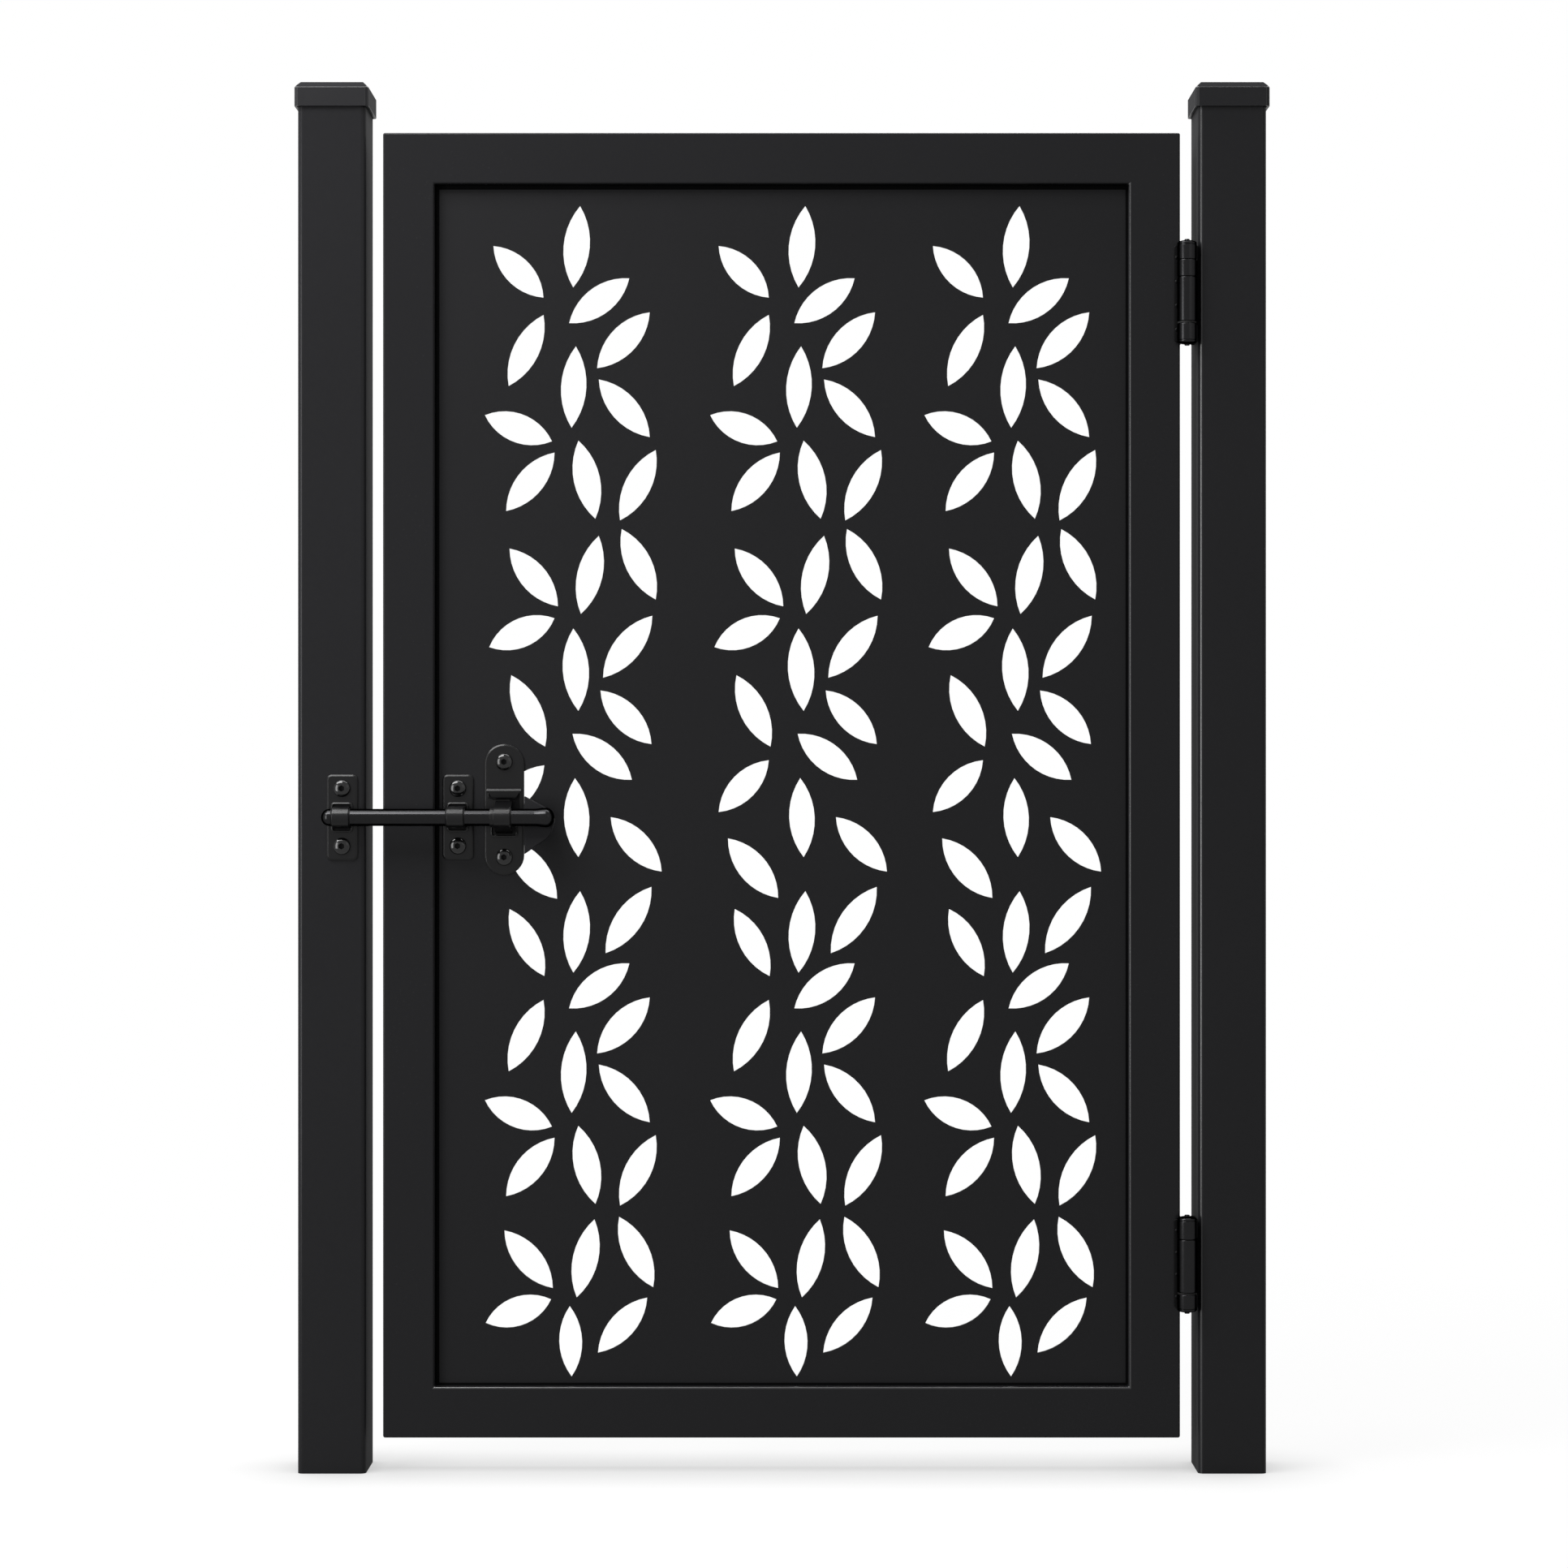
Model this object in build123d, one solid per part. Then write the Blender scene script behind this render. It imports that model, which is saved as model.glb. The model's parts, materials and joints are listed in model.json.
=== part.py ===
from build123d import *
import os

# A garden gate: a leaf-cut sheet in a mitred box frame, hung on two barrel hinges
# between a pair of capped square posts and held shut by a sliding bolt.
# X runs right along the gate, Y away from the viewer, Z up. Millimetres.

# Posts and caps
POST_WIDTH = 80
POST_WALL = 3
POST_CORNER = 5
POST_RISE = 51
CAP_OVERHANG = 3.5
CAP_FIT = 0.5
CAP_SKIRT = 22
CAP_CROWN = 7
CAP_CORNER = 4

# Gate leaf: box-section frame around a sheet
LEAF_WIDTH = 935
LEAF_HEIGHT = 1531
GROUND_GAP = 40
LATCH_GAP = 19
LEAF_SETBACK = 10
FRAME_FACE = 60
FRAME_DEPTH = 40
FRAME_WALL = 2.5
FRAME_EDGE = 2
SHEET_SETBACK = 12
SHEET = 3
GROOVE_DEPTH = 14
SHEET_GRIP = 12
KEY_LEG = 80
KEY_WALL = 3

# Leaf cut-outs: three columns of one pattern. Each leaf is its tip, its tail and its width, measured from
# the column's own centre line and the foot of the gate leaf. The sprig is cut twice in each column, and
# each column has its own pair of leaves at the height of the lock.
CUT_EDGE = 4
SPRIG_PITCH = 806
SPRIG_TOP = 960
SPRIG = (
    ((6, 487), (-2, 391), 31),
    ((64, 402), (-7, 349), 33),
    ((88, 362), (26, 296), 33),
    ((-37, 359), (-78, 275), 31),
    ((1, 322), (-4, 226), 30),
    ((28, 283), (88, 215), 32),
    ((-106, 241), (-27, 210), 34),
    ((4, 211), (24, 119), 31),
    ((95, 200), (53, 117), 31),
    ((-24, 197), (-81, 128), 32),
)
SINGLES = (
    ((-96, 1400), (-37, 1339), 32),
    ((55, 1067), (95, 984), 31),
    ((28, 1059), (7, 967), 30),
    ((-77, 1044), (-20, 976), 32),
    ((-24, 962), (-101, 928), 34),
    ((91, 965), (33, 892), 32),
    ((-2, 950), (4, 853), 31),
    ((-75, 895), (-35, 811), 32),
    ((30, 877), (90, 814), 32),
    ((-3, 826), (67, 772), 33),
    ((0, 774), (4, 681), 30),
    ((42, 728), (102, 664), 32),
    ((90, 646), (36, 568), 32),
    ((-77, 620), (-36, 541), 30),
    ((52, 258), (92, 175), 31),
    ((23, 255), (2, 163), 30),
    ((-83, 242), (-26, 174), 32),
    ((-28, 161), (-105, 133), 34),
    ((85, 163), (27, 98), 30),
    ((-6, 153), (-4, 70), 27),
)
LOCK_PAIR = (((-36, 789), (-96, 728), 31), ((-80, 702), (-21, 632), 34))
CLEAR_PAIR = (((-37, 795), (-96, 734), 31), ((-85, 703), (-26, 633), 34))
COLUMNS = ((-243, LOCK_PAIR), (22, CLEAR_PAIR), (274, CLEAR_PAIR))

# Hinges: rows of knuckles on a fixed pin, listed from the top down
BARREL = 23
PIN = 12
RUN_FIT = 0.05
ROW_GAP = 0.2
BARREL_SET = 4.5
POST_CLEAR = 1.7
HINGE_PLATE = 4
HINGE_ARM = 6
PLATE_EDGE = 4
PIN_HEAD = 5
NUT_HEIGHT = 4.5
NUT_GRIP = 3
NUB = 6
NUB_HEIGHT = 1.4
WASHER = 22
UPPER_DROP = 189
LOWER_RISE = 205
UPPER_ROWS = (("post", 18), ("spacer", 20), ("gate", 52), ("washer", 2), ("post", 20))
LOWER_ROWS = (("post", 22), ("gate", 62), ("washer", 2), ("post", 17))
HINGE_SCREWS = (-0.36, 0, 0.36)

# Bolt, its straps and its fixings
ROD = 20
ROD_RISE = 728
ROD_PAST = 23
GRIP_PAST = 61
ROD_TIP = 9.5
KNOB_SWELL = 1.5
KNOB_LENGTH = 24
STRAP = 2
STRAP_WIDTH = 20
STRAP_FIT = 0.05
STRAP_FLARE = 5
PLATE = 3
KEEPER_OFFSET = 12.5
GUIDE_INSET = 27
KEEPER_WIDTH = 36.5
KEEPER_HEIGHT = 100
KEEPER_CORNER = 6
KEEPER_SCREWS = 33.75
LOCK_STEP = 54.5
LOCK_WIDTH = 47
LOCK_HEIGHT = 154
LOCK_RISE = 9
LOCK_SCREWS = 56
LOCK_ROOT_UP = 33.5
LOCK_ROOT_DOWN = 24
LOCK_LIP_UP = 41
LOCK_LIP_DOWN = 32
LOCK_WAIST = 21.5
COLLAR = 22.5
COLLAR_LENGTH = 4
LOCK_WAIST_WIDTH = 30
THUMB = 8
THUMB_GAP = 2
THUMB_UP = 25
THUMB_DOWN = 43
THUMB_NOSE = 6
THUMB_CORNER = 5

# Fasteners: head diameter, head height, shank diameter, socket across flats
LATCH_SCREW = (20, 6, 8, 6)
HINGE_SCREW = (10.5, 3.3, 6, 4)
NUT_FLATS = 13
NUT_THICK = 6.5
SHANK_PROUD = 3

# Places worked out from the sizes above
AXIS_OUT = BARREL / 2 - BARREL_SET
HINGE_GAP = AXIS_OUT + BARREL / 2 + POST_CLEAR
OPENING = LATCH_GAP + LEAF_WIDTH + HINGE_GAP
LATCH_POST_X = -(OPENING + POST_WIDTH) / 2
HINGE_POST_X = (OPENING + POST_WIDTH) / 2
LEAF_LEFT = LATCH_GAP - OPENING / 2
LEAF_RIGHT = LEAF_LEFT + LEAF_WIDTH
LEAF_X = (LEAF_LEFT + LEAF_RIGHT) / 2
LEAF_Z = GROUND_GAP + LEAF_HEIGHT / 2
LEAF_TOP = GROUND_GAP + LEAF_HEIGHT
POST_HEIGHT = LEAF_TOP + POST_RISE
UPPER_Z = LEAF_TOP - UPPER_DROP
LOWER_Z = GROUND_GAP + LOWER_RISE
STRAP_BORE = ROD / 2 + STRAP_FIT
STRAP_OUT = STRAP_BORE + STRAP
STRAP_ROOT = STRAP_OUT + STRAP_FLARE
ROD_STANDOFF = PLATE + STRAP_BORE
FRONT_REACH = POST_WIDTH / 2 + ROD_STANDOFF + STRAP_OUT
BACK_REACH = POST_WIDTH / 2 + CAP_OVERHANG
POST_Y = (FRONT_REACH - BACK_REACH) / 2
POST_FRONT = POST_Y - POST_WIDTH / 2
LEAF_FRONT = POST_FRONT + LEAF_SETBACK
SHEET_FRONT = LEAF_FRONT + SHEET_SETBACK
SHEET_BACK = SHEET_FRONT + SHEET
ROD_Y = POST_FRONT - ROD_STANDOFF
AXIS_X = LEAF_RIGHT + AXIS_OUT
AXIS_Y = POST_FRONT
PLATE_FRONT = LEAF_SETBACK + PLATE_EDGE
PLATE_REACH = FRAME_DEPTH - 2 * PLATE_EDGE
POST_FACE = OPENING / 2
KEEPER_X = LATCH_POST_X + KEEPER_OFFSET
GUIDE_X = LEAF_LEFT + FRAME_FACE + GUIDE_INSET
LOCK_X = GUIDE_X + LOCK_STEP
ROD_Z = GROUND_GAP + ROD_RISE
ROD_LEFT = KEEPER_X - ROD_PAST
ROD_RIGHT = LOCK_X + GRIP_PAST
LOCK_Z = ROD_Z + LOCK_RISE
KNOB = ROD + 2 * KNOB_SWELL


def block(x0, x1, y0, y1, z0, z1):
    middle = Pos((x0 + x1) / 2, (y0 + y1) / 2, (z0 + z1) / 2)
    return middle * Box(x1 - x0, y1 - y0, z1 - z0)


def front_slab(face, y0, y1):
    # A face drawn in X and Z, given a thickness between two depths
    return Pos(0, y1, 0) * extrude(Plane.XZ * face, y1 - y0, dir=(0, -1, 0))


def screw(size, grip):
    # Button-head screw, head up, with its seat at the origin
    head, height, shank, socket = size
    profile = Polyline(
        (0, 0), (head / 2, 0), (head / 2, 0.24 * height), (0.4 * head, 0.66 * height),
        (0.22 * head, 0.95 * height), (0, height), (0, 0),
    )
    cap = revolve(Plane.XZ * make_face(profile), Axis.Z)
    well = extrude(RegularPolygon(socket / 2, 6, major_radius=False), height)
    cap -= Pos(0, 0, 0.45 * height) * well
    return cap + Pos(0, 0, -grip / 2) * Cylinder(shank / 2, grip)


def front_screw(x, y, z, grip):
    return Pos(x, y, z) * Rot(90, 0, 0) * screw(LATCH_SCREW, grip)


def front_hole(x, y, z, length):
    return Pos(x, y, z) * Rot(90, 0, 0) * Cylinder(LATCH_SCREW[2] / 2, length)


def side_screw(x, y, z, turn):
    grip = HINGE_PLATE + POST_WALL + SHANK_PROUD
    return Pos(x, y, z) * Rot(0, turn, 0) * screw(HINGE_SCREW, grip)


def side_hole(x, y, z):
    return Pos(x, y, z) * Rot(0, 90, 0) * Cylinder(HINGE_SCREW[2] / 2, 4 * HINGE_PLATE)


def post(x):
    tube = RectangleRounded(POST_WIDTH, POST_WIDTH, POST_CORNER)
    bore = Rectangle(POST_WIDTH - 2 * POST_WALL, POST_WIDTH - 2 * POST_WALL)
    return Pos(x, POST_Y, 0) * extrude(tube - bore, POST_HEIGHT)


def post_cap(x):
    width = POST_WIDTH + 2 * CAP_OVERHANG
    square = Rectangle(width, width)
    body = extrude(square, CAP_SKIRT + CAP_CROWN)
    body = chamfer(body.faces().sort_by(Axis.Z)[-1].edges(), CAP_CROWN)
    body &= extrude(chamfer(square.vertices(), CAP_CORNER), CAP_SKIRT + CAP_CROWN)
    fit = POST_WIDTH + 2 * CAP_FIT
    body -= extrude(RectangleRounded(fit, fit, POST_CORNER), CAP_SKIRT)
    return Pos(x, POST_Y, POST_HEIGHT - CAP_SKIRT) * body


def frame_profile():
    # Section in depth and height: inner edge at 0, outer edge at -FRAME_FACE
    outer = Pos(FRAME_DEPTH / 2, -FRAME_FACE / 2) * RectangleRounded(FRAME_DEPTH, FRAME_FACE, FRAME_EDGE)
    floor = FRAME_FACE - FRAME_WALL
    back = FRAME_DEPTH - FRAME_WALL
    root = GROOVE_DEPTH + FRAME_WALL
    lip = SHEET_SETBACK - FRAME_WALL
    far = SHEET_SETBACK + SHEET + FRAME_WALL
    void = make_face(Polyline(
        (FRAME_WALL, -FRAME_WALL), (lip, -FRAME_WALL), (lip, -root), (far, -root), (far, -FRAME_WALL),
        (back, -FRAME_WALL), (back, -floor), (FRAME_WALL, -floor), (FRAME_WALL, -FRAME_WALL),
    ))
    groove = Pos(SHEET_SETBACK + SHEET / 2, -GROOVE_DEPTH / 2) * Rectangle(SHEET, GROOVE_DEPTH)
    return outer - void - groove


def frame_member(length):
    # Box section along X, mitred at both ends
    bar = Pos(-length / 2, 0, 0) * extrude(Plane.YZ * frame_profile(), length, dir=(1, 0, 0))
    half = length / 2
    cut = Polygon(
        (-half, -FRAME_FACE), (half, -FRAME_FACE), (half - FRAME_FACE, 0), (FRAME_FACE - half, 0), align=None,
    )
    return bar & front_slab(cut, -FRAME_DEPTH, 2 * FRAME_DEPTH)


def corner_outline(sx, sz, near, far, leg):
    # L outline measured in from one outer corner of the leaf
    corner_x = LEAF_X + sx * LEAF_WIDTH / 2
    corner_z = LEAF_Z + sz * LEAF_HEIGHT / 2
    steps = ((near, near), (leg, near), (leg, far), (far, far), (far, leg), (near, leg))
    return Polygon(*[(corner_x - sx * a, corner_z - sz * b) for a, b in steps], align=None)


def corner_key(sx, sz):
    near = FRAME_WALL
    far = FRAME_FACE - GROOVE_DEPTH - FRAME_WALL
    y0 = LEAF_FRONT + FRAME_WALL
    y1 = LEAF_FRONT + FRAME_DEPTH - FRAME_WALL
    outer = front_slab(corner_outline(sx, sz, near, far, KEY_LEG), y0, y1)
    inner = corner_outline(sx, sz, near + KEY_WALL, far - KEY_WALL, KEY_LEG + KEY_WALL)
    return outer - front_slab(inner, y0 + KEY_WALL, y1 - KEY_WALL)


def leaf_cut(tip, tail, width):
    # Pointed leaf: two equal arcs from tip to tail
    along = Vector(*tail) - Vector(*tip)
    middle = Vector(*tip) + along * 0.5
    side = along.normalized().rotate(Axis.Z, 90) * (width / 2)
    one = ThreePointArc(tip, middle + side, tail)
    two = ThreePointArc(tail, middle - side, tip)
    return make_face([one, two])


def clear_of_frame(x, z):
    side = LEAF_WIDTH / 2 - FRAME_FACE - CUT_EDGE
    end = LEAF_HEIGHT / 2 - FRAME_FACE - CUT_EDGE
    return abs(x - LEAF_X) < side and abs(z - LEAF_Z) < end


def column_cuts(x, pair):
    # The leaves of one column that the frame leaves room for
    leaves = [*SINGLES, *pair]
    for base in (SPRIG_TOP, SPRIG_TOP - SPRIG_PITCH):
        leaves += [((a, b + base), (c, d + base), width) for (a, b), (c, d), width in SPRIG]
    cuts = []
    for tip, tail, width in leaves:
        ends = [(LEAF_X + x + a, GROUND_GAP + b) for a, b in (tip, tail)]
        if all(clear_of_frame(*end) for end in ends):
            cuts.append(leaf_cut(*ends, width))
    return cuts


def leaf_panel():
    width = LEAF_WIDTH - 2 * FRAME_FACE + 2 * SHEET_GRIP
    height = LEAF_HEIGHT - 2 * FRAME_FACE + 2 * SHEET_GRIP
    face = Pos(LEAF_X, LEAF_Z) * Rectangle(width, height)
    for x, pair in COLUMNS:
        face -= column_cuts(x, pair)
    panel = front_slab(face, SHEET_FRONT, SHEET_BACK)
    for x, z in sheet_screws():
        panel -= front_hole(x, SHEET_FRONT, z, 4 * SHEET)
    return panel


def keeper_screws(x):
    return [(x, ROD_Z + side * KEEPER_SCREWS) for side in (1, -1)]


def lock_screws():
    return [(LOCK_X, LOCK_Z + side * LOCK_SCREWS) for side in (1, -1)]


def sheet_screws():
    return keeper_screws(GUIDE_X) + lock_screws()


def strap(x, wall, up, down, width):
    # Band bent over the rod, standing on a wall at the given depth
    legs = ((0, STRAP_OUT), (wall - ROD_Y, up), (wall - ROD_Y, -down), (0, -STRAP_OUT))
    room = ((0, STRAP_BORE), (wall - ROD_Y, up - STRAP), (wall - ROD_Y, STRAP - down), (0, -STRAP_BORE))
    outer = Circle(STRAP_OUT) + Polygon(*legs, align=None)
    inner = Circle(STRAP_BORE) + Polygon(*room, align=None)
    band = extrude(Plane.YZ * (outer - inner), width, dir=(1, 0, 0))
    return Pos(x - width / 2, ROD_Y, ROD_Z) * band


def bolt_strap(x, wall):
    # Round-cornered plate with its band, for the keeper and the guide
    plate_face = Pos(x, ROD_Z) * RectangleRounded(KEEPER_WIDTH, KEEPER_HEIGHT, KEEPER_CORNER)
    body = front_slab(plate_face, wall - PLATE, wall)
    body += strap(x, wall - PLATE, STRAP_ROOT, STRAP_ROOT, STRAP_WIDTH)
    for at_x, z in keeper_screws(x):
        body -= front_hole(at_x, wall, z, 4 * PLATE)
    return body


def lock_outline(inset):
    width = LOCK_WIDTH - 2 * inset
    height = LOCK_HEIGHT - 2 * inset
    return Pos(LOCK_X, LOCK_Z) * RectangleRounded(width, height, width / 2 - 0.1)


def lock_bracket():
    # Round-ended plate whose band widens into a lip at each root, with a collar round the rod
    wall = SHEET_FRONT - PLATE
    half = STRAP_WIDTH / 2
    up = LOCK_LIP_UP / 2
    down = LOCK_LIP_DOWN / 2
    right = (
        (half, STRAP_ROOT), (LOCK_WAIST_WIDTH / 2, LOCK_WAIST),
        (up, LOCK_ROOT_UP - STRAP), (up, LOCK_ROOT_UP),
    )
    left = [(-a, b) for a, b in reversed(right)]
    foot = ((-down, -LOCK_ROOT_DOWN), (down, -LOCK_ROOT_DOWN))
    under = [(-half, -STRAP_ROOT), (-down, STRAP - LOCK_ROOT_DOWN)]
    over = [(-a, b) for a, b in reversed(under)]
    outline = Polygon(*right, *left, *under, *foot, *over, align=None)
    band = strap(LOCK_X, wall, LOCK_ROOT_UP, LOCK_ROOT_DOWN, LOCK_LIP_UP)
    band &= front_slab(Pos(LOCK_X, ROD_Z) * outline, ROD_Y - 2 * ROD, SHEET_FRONT)
    body = front_slab(lock_outline(0), wall, SHEET_FRONT) + band
    collar = extrude(Circle(COLLAR / 2) - Circle(STRAP_BORE), COLLAR_LENGTH)
    body += Pos(LOCK_X - half, ROD_Y, ROD_Z) * Rot(0, -90, 0) * collar
    for x, z in lock_screws():
        body -= front_hole(x, SHEET_FRONT, z, 4 * PLATE)
    return body


def lock_backing():
    body = front_slab(lock_outline(1.5), SHEET_BACK, SHEET_BACK + PLATE)
    for x, z in lock_screws():
        body -= front_hole(x, SHEET_BACK, z, 4 * PLATE)
    return body


def hex_nut(x, y, z):
    face = RegularPolygon(NUT_FLATS / 2, 6, major_radius=False) - Circle(LATCH_SCREW[2] / 2)
    return Pos(x, y, z) * Rot(-90, 0, 0) * extrude(face, NUT_THICK)


def latch_nuts():
    nuts = [hex_nut(x, SHEET_BACK, z) for x, z in keeper_screws(GUIDE_X)]
    return nuts + [hex_nut(x, SHEET_BACK + PLATE, z) for x, z in lock_screws()]


def bolt_rod():
    # Round bar with a domed tip at the left and a swollen grip at the right
    r = ROD / 2
    k = KNOB / 2
    half = make_face(Polyline(
        (ROD_LEFT, 0), (ROD_LEFT, r), (ROD_RIGHT - KNOB_LENGTH, r), (ROD_RIGHT - KNOB_LENGTH / 2, k),
        (ROD_RIGHT, k), (ROD_RIGHT, 0), (ROD_LEFT, 0),
    ))
    bar = revolve(half, Axis.X)
    rims = bar.edges().filter_by(GeomType.CIRCLE).sort_by(Axis.X)
    bar = fillet(rims[-1], 0.6 * k)
    rims = bar.edges().filter_by(GeomType.CIRCLE).sort_by(Axis.X)
    bar = fillet(rims[0], ROD_TIP)
    return Pos(0, ROD_Y, ROD_Z) * bar


def thumb_plate():
    # Rounded triangle saddled on the back of the rod's grip
    left = LOCK_X + LOCK_WIDTH / 2 + THUMB_GAP
    nose = ROD_RIGHT - THUMB_NOSE
    face = Polygon(
        (left, THUMB_UP), (nose, 0.36 * THUMB_UP), (ROD_RIGHT + 1, -2),
        (nose, -0.53 * THUMB_DOWN), (left, -THUMB_DOWN), align=None,
    )
    face = fillet(face.vertices().sort_by(Axis.X)[-3:], THUMB_CORNER)
    back = ROD_Y + KNOB / 2 + THUMB / 3
    plate = front_slab(Pos(0, ROD_Z) * face, back - THUMB, back)
    return plate - bolt_rod()


def hinge_rows(centre, rows):
    # Heights of each row of a hinge, with running gaps around the moving one
    total = sum(height for kind, height in rows) + 2 * ROW_GAP
    z = centre + total / 2
    places = []
    for kind, height in rows:
        gap = ROW_GAP if kind == "gate" else 0
        places.append((kind, z - gap - height, z - gap))
        z -= height + 2 * gap
    return places


def ring(outer, bore, z0, z1):
    face = Circle(outer / 2) - Circle(bore / 2)
    return Pos(AXIS_X, AXIS_Y, z0) * extrude(face, z1 - z0)


def hinge_leaf(places, kind, face_x, side):
    # Flat plate on a side face with its own knuckles carried forward to the axis
    bottom = places[-1][1]
    top = places[0][2]
    plate_y = AXIS_Y + PLATE_FRONT
    bore = PIN + 2 * RUN_FIT if kind == "gate" else PIN
    inner = sorted((face_x, face_x + side * HINGE_PLATE))
    arm = sorted((face_x, face_x + side * HINGE_ARM))
    body = block(*inner, plate_y, plate_y + PLATE_REACH, bottom, top)
    for row, z0, z1 in places:
        if row == kind:
            body += block(*arm, AXIS_Y, plate_y + HINGE_PLATE, z0, z1)
            body += ring(BARREL, bore, z0, z1)
    body -= ring_solid(bore, bottom, top)
    for y, z in hinge_screw_places(places):
        body -= side_hole(face_x, y, z)
    return body


def hinge_screw_places(places):
    bottom = places[-1][1]
    top = places[0][2]
    y = AXIS_Y + PLATE_FRONT + 0.55 * PLATE_REACH
    return [(y, (bottom + top) / 2 + step * (top - bottom)) for step in HINGE_SCREWS]


def hinge_pin(places):
    bottom = places[-1][1]
    top = places[0][2]
    shaft = ring_solid(PIN, bottom - NUT_GRIP, top)
    head = ring_solid(BARREL, top, top + PIN_HEAD)
    head = fillet(head.edges().sort_by(Axis.Z)[-1], 0.7 * PIN_HEAD)
    return shaft + head + ring_solid(NUB, top + PIN_HEAD, top + PIN_HEAD + NUB_HEIGHT)


def pin_nut(places):
    bottom = places[-1][1]
    nut = ring_solid(BARREL, bottom - NUT_HEIGHT, bottom)
    nut = fillet(nut.edges().sort_by(Axis.Z)[0], 0.7 * NUT_HEIGHT)
    nut += ring_solid(NUB, bottom - NUT_HEIGHT - NUB_HEIGHT, bottom - NUT_HEIGHT)
    return nut - ring_solid(PIN, bottom - NUT_GRIP, bottom)


def ring_solid(diameter, z0, z1):
    return Pos(AXIS_X, AXIS_Y, (z0 + z1) / 2) * Cylinder(diameter / 2, z1 - z0)


def add_hinge(parts, name, centre, rows):
    places = hinge_rows(centre, rows)
    parts[name + "_hinge_post_leaf"] = hinge_leaf(places, "post", POST_FACE, -1)
    parts[name + "_hinge_gate_leaf"] = hinge_leaf(places, "gate", LEAF_RIGHT, 1)
    parts[name + "_hinge_pin"] = hinge_pin(places)
    parts[name + "_hinge_pin_nut"] = pin_nut(places)
    for kind, z0, z1 in places:
        if kind == "spacer":
            parts[name + "_hinge_spacer"] = ring(BARREL, PIN, z0, z1)
        if kind == "washer":
            parts[name + "_hinge_washer"] = ring(WASHER, PIN, z0, z1)
    spots = hinge_screw_places(places)
    post_side = POST_FACE - HINGE_PLATE
    gate_side = LEAF_RIGHT + HINGE_PLATE
    parts[name + "_hinge_post_screws"] = Compound([side_screw(post_side, y, z, -90) for y, z in spots])
    parts[name + "_hinge_gate_screws"] = Compound([side_screw(gate_side, y, z, 90) for y, z in spots])
    for y, z in spots:
        parts["hinge_post"] -= side_hole(POST_FACE, y, z)
        parts["frame_hinge_stile"] -= side_hole(LEAF_RIGHT, y, z)


def build():
    parts = {}
    parts["latch_post"] = post(LATCH_POST_X)
    for x, z in keeper_screws(KEEPER_X):
        parts["latch_post"] -= front_hole(x, POST_FRONT, z, 4 * POST_WALL)
    parts["hinge_post"] = post(HINGE_POST_X)
    parts["latch_post_cap"] = post_cap(LATCH_POST_X)
    parts["hinge_post_cap"] = post_cap(HINGE_POST_X)

    rail = frame_member(LEAF_WIDTH)
    stile = frame_member(LEAF_HEIGHT)
    parts["frame_bottom_rail"] = Pos(LEAF_X, LEAF_FRONT, GROUND_GAP + FRAME_FACE) * rail
    parts["frame_top_rail"] = Pos(LEAF_X, LEAF_FRONT, LEAF_TOP - FRAME_FACE) * Rot(0, 180, 0) * rail
    parts["frame_latch_stile"] = Pos(LEAF_LEFT + FRAME_FACE, LEAF_FRONT, LEAF_Z) * Rot(0, 90, 0) * stile
    parts["frame_hinge_stile"] = Pos(LEAF_RIGHT - FRAME_FACE, LEAF_FRONT, LEAF_Z) * Rot(0, -90, 0) * stile
    parts["frame_corner_keys"] = Compound([corner_key(sx, sz) for sx in (-1, 1) for sz in (-1, 1)])
    parts["leaf_panel"] = leaf_panel()

    add_hinge(parts, "upper", UPPER_Z, UPPER_ROWS)
    add_hinge(parts, "lower", LOWER_Z, LOWER_ROWS)

    parts["keeper"] = bolt_strap(KEEPER_X, POST_FRONT)
    parts["guide"] = bolt_strap(GUIDE_X, SHEET_FRONT)
    parts["lock_bracket"] = lock_bracket()
    parts["lock_backing"] = lock_backing()
    post_grip = PLATE + POST_WALL + SHANK_PROUD
    guide_grip = PLATE + SHEET + NUT_THICK
    parts["keeper_screws"] = Compound(
        [front_screw(x, POST_FRONT - PLATE, z, post_grip) for x, z in keeper_screws(KEEPER_X)])
    parts["guide_screws"] = Compound(
        [front_screw(x, SHEET_FRONT - PLATE, z, guide_grip) for x, z in keeper_screws(GUIDE_X)])
    parts["lock_bracket_screws"] = Compound(
        [front_screw(x, SHEET_FRONT - PLATE, z, guide_grip + PLATE) for x, z in lock_screws()])
    parts["latch_nuts"] = Compound(latch_nuts())
    parts["bolt_rod"] = bolt_rod()
    parts["bolt_thumb_plate"] = thumb_plate()
    return parts


os.makedirs("parts", exist_ok=True)
for node, shape in build().items():
    export_step(shape, f"parts/{node}.step")
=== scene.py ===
import json
import math

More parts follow.
